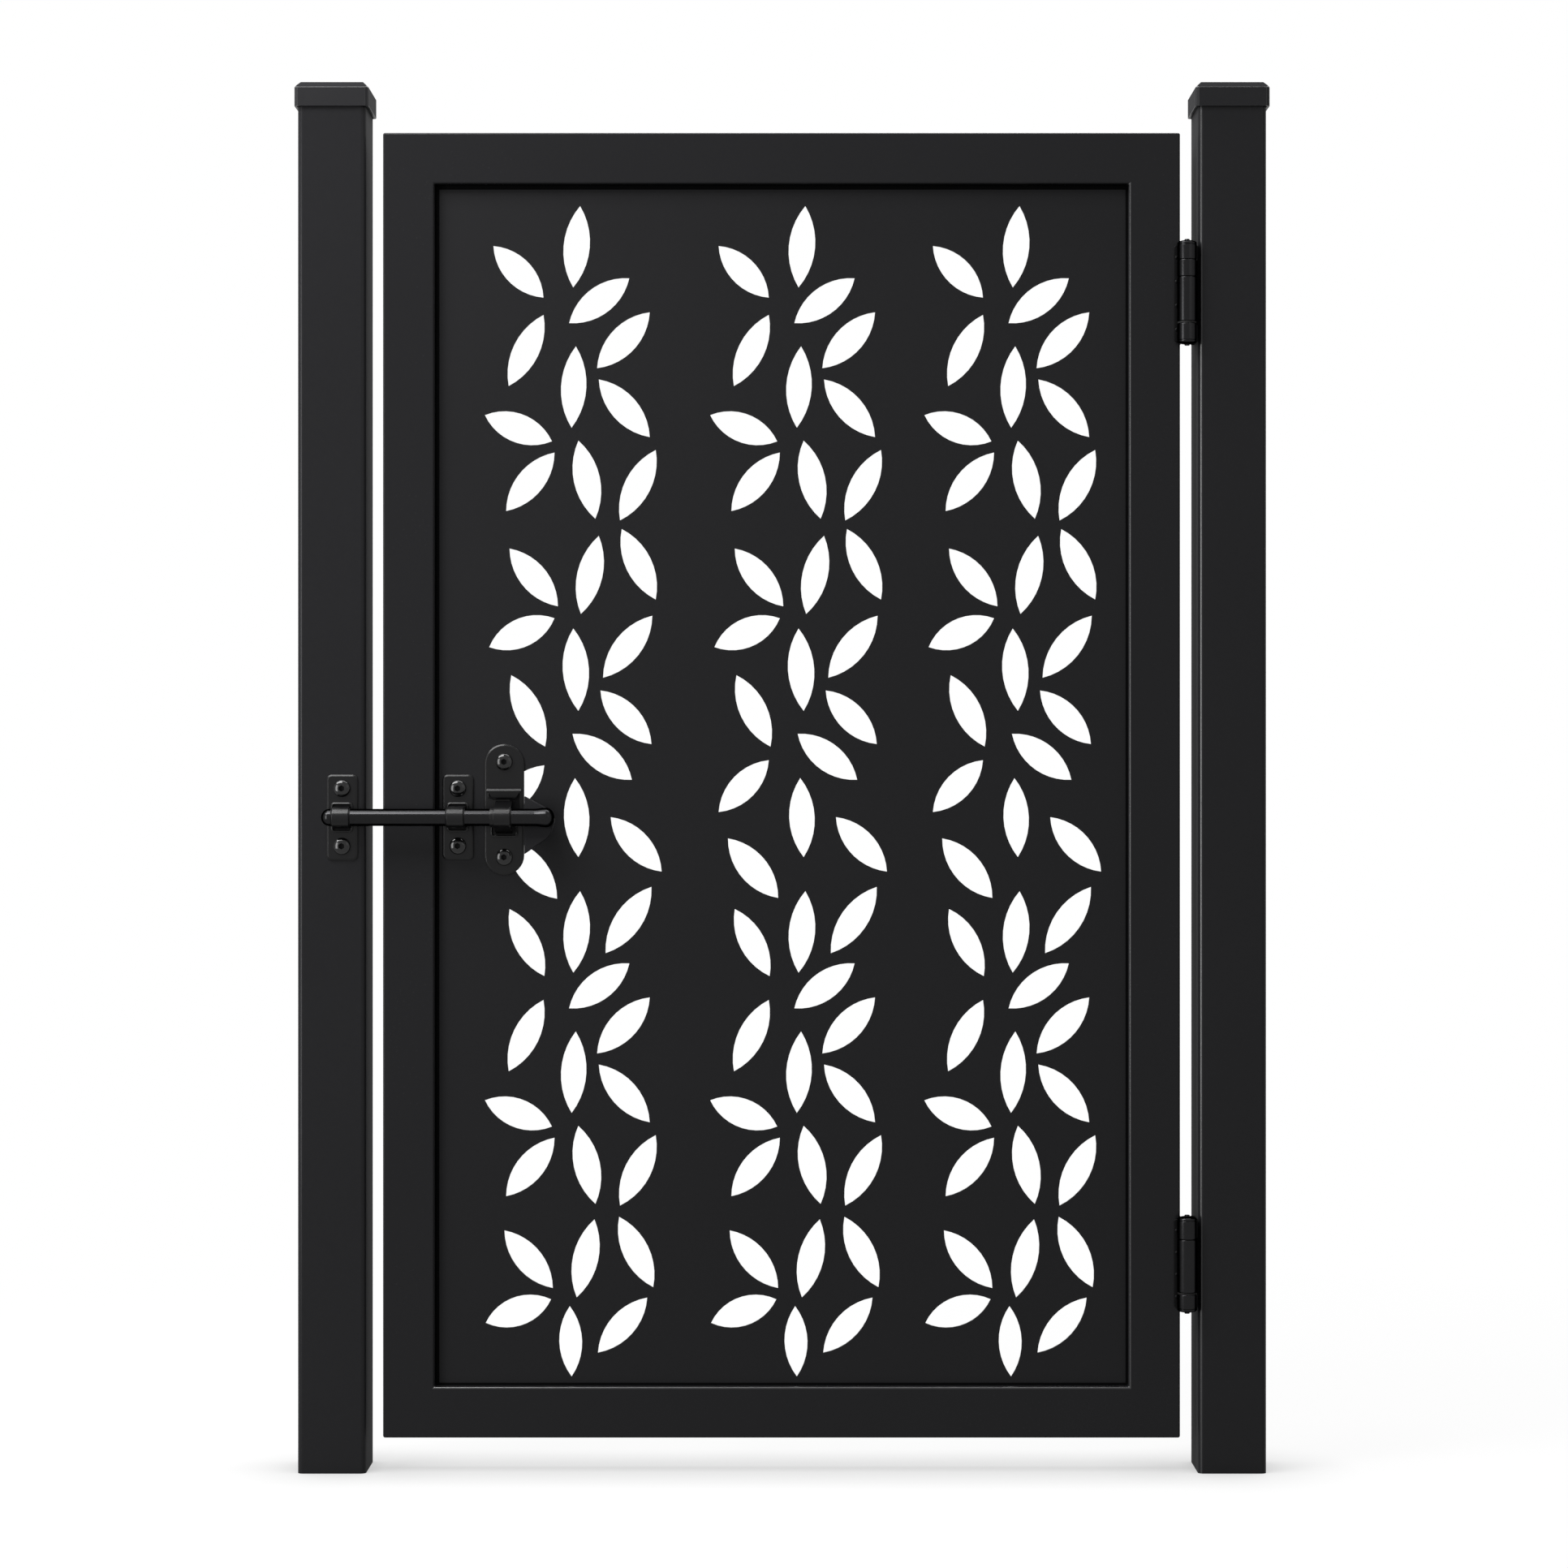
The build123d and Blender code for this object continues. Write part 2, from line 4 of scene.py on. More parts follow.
import bmesh
import bpy
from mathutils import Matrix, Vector


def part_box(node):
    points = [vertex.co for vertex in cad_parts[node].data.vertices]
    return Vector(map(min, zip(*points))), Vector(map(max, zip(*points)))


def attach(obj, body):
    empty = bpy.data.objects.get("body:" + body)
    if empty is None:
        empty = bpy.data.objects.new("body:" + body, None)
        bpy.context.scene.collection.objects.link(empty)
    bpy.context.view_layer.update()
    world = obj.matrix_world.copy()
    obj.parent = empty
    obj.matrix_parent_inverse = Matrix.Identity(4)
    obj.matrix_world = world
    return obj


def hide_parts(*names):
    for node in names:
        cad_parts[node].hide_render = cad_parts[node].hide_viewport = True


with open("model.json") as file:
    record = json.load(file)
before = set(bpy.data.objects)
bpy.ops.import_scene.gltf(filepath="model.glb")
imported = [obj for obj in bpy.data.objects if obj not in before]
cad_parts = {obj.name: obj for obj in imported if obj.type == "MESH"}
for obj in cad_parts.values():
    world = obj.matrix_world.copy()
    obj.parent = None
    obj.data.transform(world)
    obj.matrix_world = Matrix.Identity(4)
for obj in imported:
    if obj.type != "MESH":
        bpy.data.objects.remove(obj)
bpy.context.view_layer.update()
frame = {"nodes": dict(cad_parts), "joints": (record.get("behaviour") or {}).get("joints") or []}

# The view: a level camera square to the gate at about half its height, some four metres off,
# with a long lens, as for a catalogue picture on white.
SENSOR = 36
LENS = 83.4
VIEW_FROM = (0.0023, -4.2792, 0.807)

camera_data = bpy.data.cameras.new("catalogue_view")
camera_data.sensor_width = SENSOR
camera_data.lens = LENS
camera = bpy.data.objects.new("catalogue_view", camera_data)
camera.location = VIEW_FROM
camera.rotation_euler = (math.radians(90), 0, 0)
bpy.context.scene.collection.objects.link(camera)
bpy.context.scene.camera = camera
bpy.context.scene.view_settings.view_transform = "Standard"

# The studio: a pale floor that runs out to white, with soft shade painted onto it close to what stands on
# it, and a grey room that reads as white behind the gate. A large soft box hangs high on the left and a tall
# one stands low on the left, with weak ones on the right and behind, and one overhead.
FLOOR_SIZE = 60
FLOOR_PALE = (0.66, 0.66, 0.66)
FLOOR_BOUNCE = (0.10, 0.10, 0.10)
FLOOR_GLOW = 0.90
FOOT_SHADE = (0.42, 0.42, 0.42)
FOOT_REACH = 0.12
FADE_FROM = 0.75
FADE_TO = 2.0
ROOM_GREY = (0.05, 0.05, 0.052)
SOFT_BOXES = (
    ("key_box", (-1.9, -1.35, 3.2), (-1.9, 0, 0.9), (2.6, 1.3), 195),
    ("side_box", (-2.21, -1.77, 0.96), (0.4, 0, 0.9), (0.9, 1.84), 42),
    ("fill_box", (2.6, -3.0, 2.2), (0.2, 0, 0.9), (1.8, 1.8), 5),
    ("back_box", (0.6, 2.6, 3.3), (0.0, 0, 0.8), (2.0, 1.0), 36),
    ("top_box", (0.1, 0.08, 3.7), (0.1, 0.08, 0), (3.6, 1.0), 140),
)

bpy.ops.object.select_all(action="DESELECT")
bpy.ops.mesh.primitive_plane_add(size=FLOOR_SIZE, location=(0, 0, 0))
floor = bpy.context.object
floor.name = "floor"
floor_paint = bpy.data.materials.new("pale_floor")
floor_paint.use_nodes = True
nodes = floor_paint.node_tree.nodes
links = floor_paint.node_tree.links
nodes.clear()
out = nodes.new("ShaderNodeOutputMaterial")
path = nodes.new("ShaderNodeLightPath")
mirrored = nodes.new("ShaderNodeMath")
mirrored.operation = "MAXIMUM"
tone = nodes.new("ShaderNodeMix")
tone.data_type = "RGBA"
tone.inputs["A"].default_value = (*FLOOR_BOUNCE, 1)
tone.inputs["B"].default_value = (*FLOOR_PALE, 1)
matt = nodes.new("ShaderNodeBsdfDiffuse")
glow = nodes.new("ShaderNodeEmission")
# Painted shade: ambient occlusion darkens the floor's white close to what stands on it.
nook = nodes.new("ShaderNodeAmbientOcclusion")
nook.inputs["Distance"].default_value = FOOT_REACH
nook_tone = nodes.new("ShaderNodeMix")
nook_tone.data_type = "RGBA"
nook_tone.inputs["A"].default_value = (*FOOT_SHADE, 1)
nook_tone.inputs["B"].default_value = (1, 1, 1, 1)
place = nodes.new("ShaderNodeTexCoord")
reach = nodes.new("ShaderNodeVectorMath")
reach.operation = "LENGTH"
fade = nodes.new("ShaderNodeMapRange")
fade.inputs["From Min"].default_value = FADE_FROM
fade.inputs["From Max"].default_value = FADE_TO
fade.inputs["To Min"].default_value = FLOOR_GLOW
fade.inputs["To Max"].default_value = 1.0
direct = nodes.new("ShaderNodeMath")
direct.operation = "MULTIPLY"
share = nodes.new("ShaderNodeMath")
share.operation = "MAXIMUM"
mix = nodes.new("ShaderNodeMixShader")
links.new(path.outputs["Is Glossy Ray"], mirrored.inputs[0])
links.new(path.outputs["Is Transmission Ray"], mirrored.inputs[1])
links.new(path.outputs["Is Camera Ray"], tone.inputs["Factor"])
links.new(tone.outputs["Result"], matt.inputs["Color"])
links.new(nook.outputs["AO"], nook_tone.inputs["Factor"])
links.new(nook_tone.outputs["Result"], glow.inputs["Color"])
links.new(place.outputs["Object"], reach.inputs[0])
links.new(reach.outputs["Value"], fade.inputs["Value"])
links.new(fade.outputs["Result"], direct.inputs[0])
links.new(path.outputs["Is Camera Ray"], direct.inputs[1])
links.new(direct.outputs[0], share.inputs[0])
links.new(mirrored.outputs[0], share.inputs[1])
links.new(share.outputs[0], mix.inputs["Fac"])
links.new(matt.outputs[0], mix.inputs[1])
links.new(glow.outputs[0], mix.inputs[2])
links.new(mix.outputs[0], out.inputs["Surface"])
floor.data.materials.append(floor_paint)

world = bpy.data.worlds.new("studio_room")
bpy.context.scene.world = world
world.use_nodes = True
nodes = world.node_tree.nodes
links = world.node_tree.links
nodes.clear()
out = nodes.new("ShaderNodeOutputWorld")
room = nodes.new("ShaderNodeBackground")
room.inputs["Color"].default_value = (*ROOM_GREY, 1)
paper = nodes.new("ShaderNodeBackground")
paper.inputs["Color"].default_value = (1, 1, 1, 1)
path = nodes.new("ShaderNodeLightPath")
seen = nodes.new("ShaderNodeMath")
seen.operation = "MAXIMUM"
shown = nodes.new("ShaderNodeMath")
shown.operation = "MAXIMUM"
mix = nodes.new("ShaderNodeMixShader")
links.new(path.outputs["Is Camera Ray"], seen.inputs[0])
links.new(path.outputs["Is Glossy Ray"], seen.inputs[1])
links.new(seen.outputs[0], shown.inputs[0])
links.new(path.outputs["Is Transmission Ray"], shown.inputs[1])
links.new(shown.outputs[0], mix.inputs["Fac"])
links.new(room.outputs[0], mix.inputs[1])
links.new(paper.outputs[0], mix.inputs[2])
links.new(mix.outputs[0], out.inputs["Surface"])

for name, hung_at, aim, size, watts in SOFT_BOXES:
    lamp_data = bpy.data.lights.new(name, "AREA")
    lamp_data.shape = "RECTANGLE"
    lamp_data.size = size[0]
    lamp_data.size_y = size[1]
    lamp_data.energy = watts
    lamp = bpy.data.objects.new(name, lamp_data)
    lamp.location = hung_at
    lamp.rotation_euler = (Vector(aim) - Vector(hung_at)).to_track_quat("-Z", "Y").to_euler()
    bpy.context.scene.collection.objects.link(lamp)

# Posts: square aluminium tube with rounded corners and an open foot, powder coated matt black. The coat has
# a fine orange-peel surface and is never quite even in tone. Down the hinge post's front corner, on the side
# of the leaf, a glossier copy of the coat gives a highlight line: painted highlight.
POST_WALL = 0.003
POST_CORNER = 0.0065
POST_CORNER_STEPS = 5
HIGHLIGHT_FRONT = 0.8
HIGHLIGHT_LEFT = 0.3
CLOUD_SCALE = 4.5
CLOUD_DETAIL = 4
CLOUD_SHARE = 0.45
SPECK_SCALE = 260
SPECK_DETAIL = 2
SPECK_SHARE = 0.55
PEEL_DETAIL = 1.5
PEEL_BREAKUP = 0.4
PEEL_STRENGTH = 0.5
SIDE_FROM = 0.8
SLIVER = 0.00001


def coat_group():
    """Mottled colour, uneven gloss and orange-peel height of a baked powder coat."""
    group = bpy.data.node_groups.new("powder_coat", "ShaderNodeTree")
    face = group.interface
    face.new_socket("Dark", in_out="INPUT", socket_type="NodeSocketColor")
    face.new_socket("Light", in_out="INPUT", socket_type="NodeSocketColor")
    face.new_socket("Smooth", in_out="INPUT", socket_type="NodeSocketFloat")
    face.new_socket("Rough", in_out="INPUT", socket_type="NodeSocketFloat")
    face.new_socket("Peel Scale", in_out="INPUT", socket_type="NodeSocketFloat")
    face.new_socket("Color", in_out="OUTPUT", socket_type="NodeSocketColor")
    face.new_socket("Roughness", in_out="OUTPUT", socket_type="NodeSocketFloat")
    face.new_socket("Height", in_out="OUTPUT", socket_type="NodeSocketFloat")
    nodes = group.nodes
    links = group.links
    given = nodes.new("NodeGroupInput")
    made = nodes.new("NodeGroupOutput")
    place = nodes.new("ShaderNodeTexCoord")
    clouds = nodes.new("ShaderNodeTexNoise")
    clouds.inputs["Scale"].default_value = CLOUD_SCALE
    clouds.inputs["Detail"].default_value = CLOUD_DETAIL
    specks = nodes.new("ShaderNodeTexNoise")
    specks.inputs["Scale"].default_value = SPECK_SCALE
    specks.inputs["Detail"].default_value = SPECK_DETAIL
    tone = nodes.new("ShaderNodeMath")
    tone.operation = "MULTIPLY_ADD"
    tone.inputs[1].default_value = CLOUD_SHARE
    speck_tone = nodes.new("ShaderNodeMath")
    speck_tone.operation = "MULTIPLY"
    speck_tone.inputs[1].default_value = SPECK_SHARE
    paint = nodes.new("ShaderNodeMix")
    paint.data_type = "RGBA"
    gloss = nodes.new("ShaderNodeMapRange")
    peel = nodes.new("ShaderNodeTexNoise")
    peel.inputs["Detail"].default_value = PEEL_DETAIL
    peel.inputs["Roughness"].default_value = PEEL_BREAKUP
    links.new(place.outputs["Object"], clouds.inputs["Vector"])
    links.new(place.outputs["Object"], specks.inputs["Vector"])
    links.new(place.outputs["Object"], peel.inputs["Vector"])
    links.new(given.outputs["Peel Scale"], peel.inputs["Scale"])
    links.new(specks.outputs["Fac"], speck_tone.inputs[0])
    links.new(clouds.outputs["Fac"], tone.inputs[0])
    links.new(speck_tone.outputs[0], tone.inputs[2])
    links.new(tone.outputs[0], paint.inputs["Factor"])
    links.new(given.outputs["Dark"], paint.inputs["A"])
    links.new(given.outputs["Light"], paint.inputs["B"])
    links.new(tone.outputs[0], gloss.inputs["Value"])
    links.new(given.outputs["Smooth"], gloss.inputs["To Min"])
    links.new(given.outputs["Rough"], gloss.inputs["To Max"])
    links.new(paint.outputs["Result"], made.inputs["Color"])
    links.new(gloss.outputs["Result"], made.inputs["Roughness"])
    links.new(peel.outputs["Fac"], made.inputs["Height"])
    return group


def coated(name, dark, light, smooth, rough, peel_scale, peel_depth, gloss_level, dry_sides=0.0, bare=0.0):
    """The shared coat with one finish's own values, drier on the two sides, or bare dark metal."""
    material = bpy.data.materials.new(name)
    material.use_nodes = True
    nodes = material.node_tree.nodes
    links = material.node_tree.links
    shell = nodes["Principled BSDF"]
    shell.inputs["Specular IOR Level"].default_value = gloss_level
    shell.inputs["Metallic"].default_value = bare
    shell.inputs["Specular Tint"].default_value = (1 - bare, 1 - bare, 1 - bare, 1)
    coat = nodes.new("ShaderNodeGroup")
    coat.node_tree = powder_coat
    coat.inputs["Dark"].default_value = (*dark, 1)
    coat.inputs["Light"].default_value = (*light, 1)
    coat.inputs["Smooth"].default_value = smooth
    coat.inputs["Rough"].default_value = rough
    coat.inputs["Peel Scale"].default_value = peel_scale
    bump = nodes.new("ShaderNodeBump")
    bump.inputs["Strength"].default_value = PEEL_STRENGTH
    bump.inputs["Distance"].default_value = peel_depth
    place = nodes.new("ShaderNodeTexCoord")
    facing = nodes.new("ShaderNodeSeparateXYZ")
    sideways = nodes.new("ShaderNodeMath")
    sideways.operation = "ABSOLUTE"
    dryness = nodes.new("ShaderNodeMapRange")
    dryness.inputs["From Min"].default_value = SIDE_FROM
    dryness.inputs["To Max"].default_value = dry_sides
    dull = nodes.new("ShaderNodeMath")
    dull.operation = "ADD"
    dull.use_clamp = True
    links.new(coat.outputs["Color"], shell.inputs["Base Color"])
    links.new(place.outputs["Normal"], facing.inputs[0])
    links.new(facing.outputs["X"], sideways.inputs[0])
    links.new(sideways.outputs[0], dryness.inputs["Value"])
    links.new(coat.outputs["Roughness"], dull.inputs[0])
    links.new(dryness.outputs["Result"], dull.inputs[1])
    links.new(dull.outputs[0], shell.inputs["Roughness"])
    links.new(coat.outputs["Height"], bump.inputs["Height"])
    links.new(bump.outputs["Normal"], shell.inputs["Normal"])
    return material


def start_box(name, low, high):
    """A box from corner to corner, in edit mode, as the start of a piece."""
    bpy.ops.object.select_all(action="DESELECT")
    middle = [(a + b) / 2 for a, b in zip(low, high)]
    bpy.ops.mesh.primitive_cube_add(size=1, location=middle)
    piece = bpy.context.object
    piece.name = name
    piece.scale = [b - a for a, b in zip(low, high)]
    bpy.ops.object.transform_apply(location=True, rotation=True, scale=True)
    bpy.ops.object.mode_set(mode="EDIT")
    return piece


def pick(piece, kind, test):
    """Selects the faces, edges or vertices that a test of the element says yes to."""
    bpy.ops.mesh.select_mode(type=kind)
    bpy.ops.mesh.select_all(action="DESELECT")
    mesh = bmesh.from_edit_mesh(piece.data)
    group = {"FACE": mesh.faces, "EDGE": mesh.edges, "VERT": mesh.verts}[kind]
    for element in group:
        element.select_set(bool(test(element)))
    mesh.select_flush_mode()
    bmesh.update_edit_mesh(piece.data)


def draw_out(step):
    """Extrudes what is selected along a straight step."""
    bpy.ops.mesh.extrude_region_move(TRANSFORM_OT_translate={"value": step})


def runs(edge, axis):
    """True for an edge that lies along the axis."""
    step = edge.verts[1].co - edge.verts[0].co
    return abs(step[axis]) > 0.999 * step.length


def finish_shape(piece, bevel=0.0, segments=3, angle=30, smooth=32):
    """Leaves edit mode, softens the edges, clears collapsed faces and shades the piece."""
    bpy.ops.object.mode_set(mode="OBJECT")
    if bevel:
        soften = piece.modifiers.new("soft_edges", "BEVEL")
        soften.width = bevel
        soften.segments = segments
        soften.limit_method = "ANGLE"
        soften.angle_limit = math.radians(angle)
        soften.harden_normals = False
        bpy.ops.object.modifier_apply(modifier=soften.name)
    bpy.ops.object.mode_set(mode="EDIT")
    bpy.ops.mesh.select_all(action="SELECT")
    bpy.ops.mesh.dissolve_degenerate(threshold=SLIVER)
    bpy.ops.object.mode_set(mode="OBJECT")
    bpy.ops.object.shade_smooth_by_angle(angle=math.radians(smooth))
    steady = piece.modifiers.new("flat_faces", "WEIGHTED_NORMAL")
    steady.keep_sharp = True
    bpy.ops.object.modifier_apply(modifier=steady.name)


def thicken(piece, thickness, offset):
    """Leaves edit mode and gives a thin shape its wall."""
    bpy.ops.object.mode_set(mode="OBJECT")
    wall = piece.modifiers.new("wall", "SOLIDIFY")
    wall.thickness = thickness
    wall.offset = offset
    wall.use_even_offset = True
    bpy.ops.object.modifier_apply(modifier=wall.name)


def finish_faces(piece, material):
    """Gives the selected faces of a piece in edit mode a finish of their own."""
    piece.data.materials.append(material)
    piece.active_material_index = len(piece.data.materials) - 1
    bpy.ops.object.material_slot_assign()


def two_tone(piece, main, other):
    """Gives a piece in edit mode its main finish, and another one to the selected faces."""
    piece.data.materials.append(main)
    finish_faces(piece, other)


def fit(piece, material, body, slot, *cad_nodes):
    """Dresses a finished piece, if it has no finish yet, and hands it to its body."""
    if material:
        piece.data.materials.clear()
        piece.data.materials.append(material)
    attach(piece, body)
    if cad_nodes:
        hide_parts(*cad_nodes)


def on_corner(face, left):
    """True on the part of a rounded front corner that turns a little to the left."""
    turned = face.normal.y < -HIGHLIGHT_FRONT and face.normal.x < -HIGHLIGHT_LEFT
    return turned and face.calc_center_median().x < left + POST_CORNER


powder_coat = coat_group()
post_coat = coated(
    "post_coat", (0.0074, 0.0074, 0.0082), (0.0110, 0.0110, 0.0121),
    smooth=0.21, rough=0.27, peel_scale=900, peel_depth=0.00005, gloss_level=0.12, dry_sides=0.6)
# Painted highlight: a glossier copy of the coat, put only on edges meant to show a highlight line.
highlight_gloss_coat = coated(
    "highlight_gloss_coat", (0.0066, 0.0066, 0.0073), (0.0098, 0.0098, 0.0108),
    smooth=0.22, rough=0.26, peel_scale=900, peel_depth=0.000002, gloss_level=0.5)
for node in ("latch_post", "hinge_post"):
    low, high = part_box(node)
    post = start_box(node + "_tube", low, high)
    pick(post, "FACE", lambda f: abs(f.normal.z) > 0.9)
    bpy.ops.mesh.delete(type="ONLY_FACE")
    pick(post, "EDGE", lambda e: runs(e, 2))
    bpy.ops.mesh.bevel(offset=POST_CORNER, segments=POST_CORNER_STEPS, affect="EDGES")
    thicken(post, POST_WALL, offset=-1)
    finish_shape(post)
    bpy.ops.object.mode_set(mode="EDIT")
    # Painted highlight: the glossier coat down the hinge post's corner.
    pick(post, "FACE", lambda f: node == "hinge_post" and on_corner(f, low.x))
    two_tone(post, post_coat, highlight_gloss_coat)
    bpy.ops.object.mode_set(mode="OBJECT")
    fit(post, None, "posts", "post", node)

# Post caps: moulded plastic lids with cut corners and a bevelled crown, pushed down over the tube. The
# crown's slopes get a dull copy of the plastic so they read dark, painted shade, and the narrow rounded
# edges get the glossier coat for highlight lines, painted highlight.
CAP_WALL = 0.003
CAP_CROWN = 0.007
CAP_CORNER = 0.004
CAP_CORNER_STEPS = 2
CAP_SKIRT = 0.022
CAP_EDGE = 0.0011
CAP_EDGE_ANGLE = 22
SLOPE_LEAST = 0.3
SLOPE_MOST = 0.95
SLOPE_AREA = 0.0001
HAIR = 0.00001

cap_plastic = coated(
    "cap_plastic", (0.0076, 0.0076, 0.0084), (0.0112, 0.0112, 0.0123),
    smooth=0.34, rough=0.44, peel_scale=1500, peel_depth=0.00006, gloss_level=0.12, dry_sides=0.5)
crown_shade_plastic = coated(
    "crown_shade_plastic", (0.0076, 0.0076, 0.0084), (0.0112, 0.0112, 0.0123),
    smooth=0.6, rough=0.7, peel_scale=1500, peel_depth=0.00006, gloss_level=0.02)
for node in ("latch_post_cap", "hinge_post_cap"):
    low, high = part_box(node)
    cap = start_box(node + "_lid", low, high)
    pick(cap, "FACE", lambda f: f.normal.z < -0.9)
    bpy.ops.mesh.inset(thickness=CAP_WALL)
    draw_out((0, 0, CAP_SKIRT))
    pick(cap, "EDGE", lambda e: all(v.co.z > high.z - HAIR for v in e.verts))
    bpy.ops.mesh.bevel(offset=CAP_CROWN, segments=1, affect="EDGES")
    outer_left = low.x + CAP_WALL / 2
    outer_right = high.x - CAP_WALL / 2
    pick(cap, "EDGE", lambda e: runs(e, 2) and not outer_left < e.verts[0].co.x < outer_right)
    bpy.ops.mesh.bevel(offset=CAP_CORNER, segments=CAP_CORNER_STEPS, affect="EDGES")
    finish_shape(cap, CAP_EDGE, angle=CAP_EDGE_ANGLE)
    bpy.ops.object.mode_set(mode="EDIT")
    # Painted shade: the crown's slopes get a dull copy of the plastic so that they read dark.
    pick(cap, "FACE", lambda f: SLOPE_LEAST < f.normal.z < SLOPE_MOST and f.calc_area() > SLOPE_AREA)
    two_tone(cap, cap_plastic, crown_shade_plastic)
    # Painted highlight: the narrow rounded edges get the glossier coat.
    pick(cap, "FACE", lambda f: min(e.calc_length() for e in f.edges) < CAP_EDGE)
    finish_faces(cap, highlight_gloss_coat)
    bpy.ops.object.mode_set(mode="OBJECT")
    fit(cap, None, "posts", "cap", node)

# Leaf frame: box section mitred, welded round and ground flush, so the coat runs over the corners. Along the
# foot and the hinge side of the opening its rounded front edge gets the glossier coat: painted highlight.
FRAME_FACE = 0.06
FRAME_EDGE = 0.0024
FRAME_EDGE_STEPS = 4


def start_ring(name, low, high, width):
    """A flat rectangular ring of one width in X and Z, in edit mode."""
    ring = start_box(name, low, high)
    pick(ring, "FACE", lambda f: abs(f.normal.y) > 0.9)
    bpy.ops.mesh.inset(thickness=width, use_individual=True)
    bpy.ops.mesh.delete(type="ONLY_FACE")
    pick(ring, "EDGE", lambda e: e.is_boundary)
    bpy.ops.mesh.bridge_edge_loops()
    pick(ring, "FACE", lambda f: True)
    bpy.ops.mesh.normals_make_consistent(inside=False)
    return ring


def on_highlight_edge(face):
    """True on the rounded front edge of the opening, along its foot and its hinge side, for the painted
    highlight.
    """
    spot = face.calc_center_median()
    if spot.y > leaf_low.y + FRAME_EDGE:
        return False
    if spot.x < opening_low.x - FRAME_EDGE or spot.z > opening_high.z + FRAME_EDGE:
        return False
    return abs(spot.z - opening_low.z) < FRAME_EDGE or abs(spot.x - opening_high.x) < FRAME_EDGE


frame_coat = coated(
    "frame_coat", (0.0066, 0.0066, 0.0073), (0.0098, 0.0098, 0.0108),
    smooth=0.23, rough=0.30, peel_scale=900, peel_depth=0.00005, gloss_level=0.12, dry_sides=0.55)
leaf_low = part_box("frame_latch_stile")[0]
leaf_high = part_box("frame_hinge_stile")[1]
opening_low = leaf_low + Vector((FRAME_FACE, 0, FRAME_FACE))
opening_high = leaf_high - Vector((FRAME_FACE, 0, FRAME_FACE))
leaf_frame = start_ring("leaf_frame", leaf_low, leaf_high, FRAME_FACE)
finish_shape(leaf_frame, FRAME_EDGE, FRAME_EDGE_STEPS)
bpy.ops.object.mode_set(mode="EDIT")
# Painted highlight: the glossier coat on the opening's front edge at the foot and the hinge side.
pick(leaf_frame, "FACE", on_highlight_edge)
two_tone(leaf_frame, frame_coat, highlight_gloss_coat)
bpy.ops.object.mode_set(mode="OBJECT")
fit(leaf_frame, None, "gate_leaf", "frame",
    "frame_bottom_rail", "frame_top_rail", "frame_latch_stile", "frame_hinge_stile", "frame_corner_keys")

# Leaf panel: one flat metal sheet with leaf-shaped openings cut through it, held all round in the frame.
# It has the same black coat, a little duller. The solid's own shape is right, so it only gets its finish.
panel_coat = coated(
    "panel_coat", (0.0054, 0.0054, 0.0060), (0.0082, 0.0082, 0.0090),
    smooth=0.36, rough=0.46, peel_scale=900, peel_depth=0.00008, gloss_level=0.12)
panel = frame["nodes"]["leaf_panel"]
panel.data.materials.clear()
panel.data.materials.append(panel_coat)

# Corner shade strip: a near-black strip pressed into the corner between the frame and the sheet, all round,
# standing in for the shade that falls there: painted shade. It is tucked under the frame a little at the
# foot and on the hinge side.
SHADE_STRIP_WIDTH = 0.005
SHADE_STRIP_THICK = 0.0015
SHADE_STRIP_TUCK = 0.002
SHADE_STRIP_EDGE = 0.0006

# Painted shade: a near-black matt coat for the strip in the frame's corner.
corner_shade_strip_coat = coated(
    "corner_shade_strip_coat", (0.0008, 0.0008, 0.0009), (0.0014, 0.0014, 0.0015),
    smooth=0.7, rough=0.8, peel_scale=1200, peel_depth=0.00003, gloss_level=0.03)
sheet_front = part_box("leaf_panel")[0].y
corner_shade_strip_low = (opening_low.x, sheet_front - SHADE_STRIP_THICK, opening_low.z - SHADE_STRIP_TUCK)
corner_shade_strip_high = (opening_high.x + SHADE_STRIP_TUCK, sheet_front, opening_high.z)
corner_shade_strip = start_ring("sheet_corner_shade_strip", corner_shade_strip_low, corner_shade_strip_high, SHADE_STRIP_WIDTH)
finish_shape(corner_shade_strip, SHADE_STRIP_EDGE, segments=2)
fit(corner_shade_strip, corner_shade_strip_coat, "gate_leaf", "washer")

# Hinges: heavy barrel hinges in blackened bare steel, one plate on the side of the post and one on the side
# of the leaf, with turned knuckles welded to their arms. The two kinds of knuckle stack on one pin.
HINGE_PLATE = 0.004
HINGE_PLATE_EDGE = 0.0009
HINGE_ARM = 0.006
HINGE_ARM_EDGE = 0.0006
PLATE_FRONT = 0.014
PIN_RADIUS = 0.006
KNUCKLE_BORE = 0.0062
KNUCKLE_EDGE = 0.0012
ROW_GAP = 0.0002
HINGE_ROWS = {
    "upper": (("post", 0.018), ("spacer", 0.020), ("gate", 0.052), ("washer", 0.002), ("post", 0.020)),
    "lower": (("post", 0.022), ("gate", 0.062), ("washer", 0.002), ("post", 0.017)),
}
TURNED_SIDES = 48
DOME_RINGS = 6


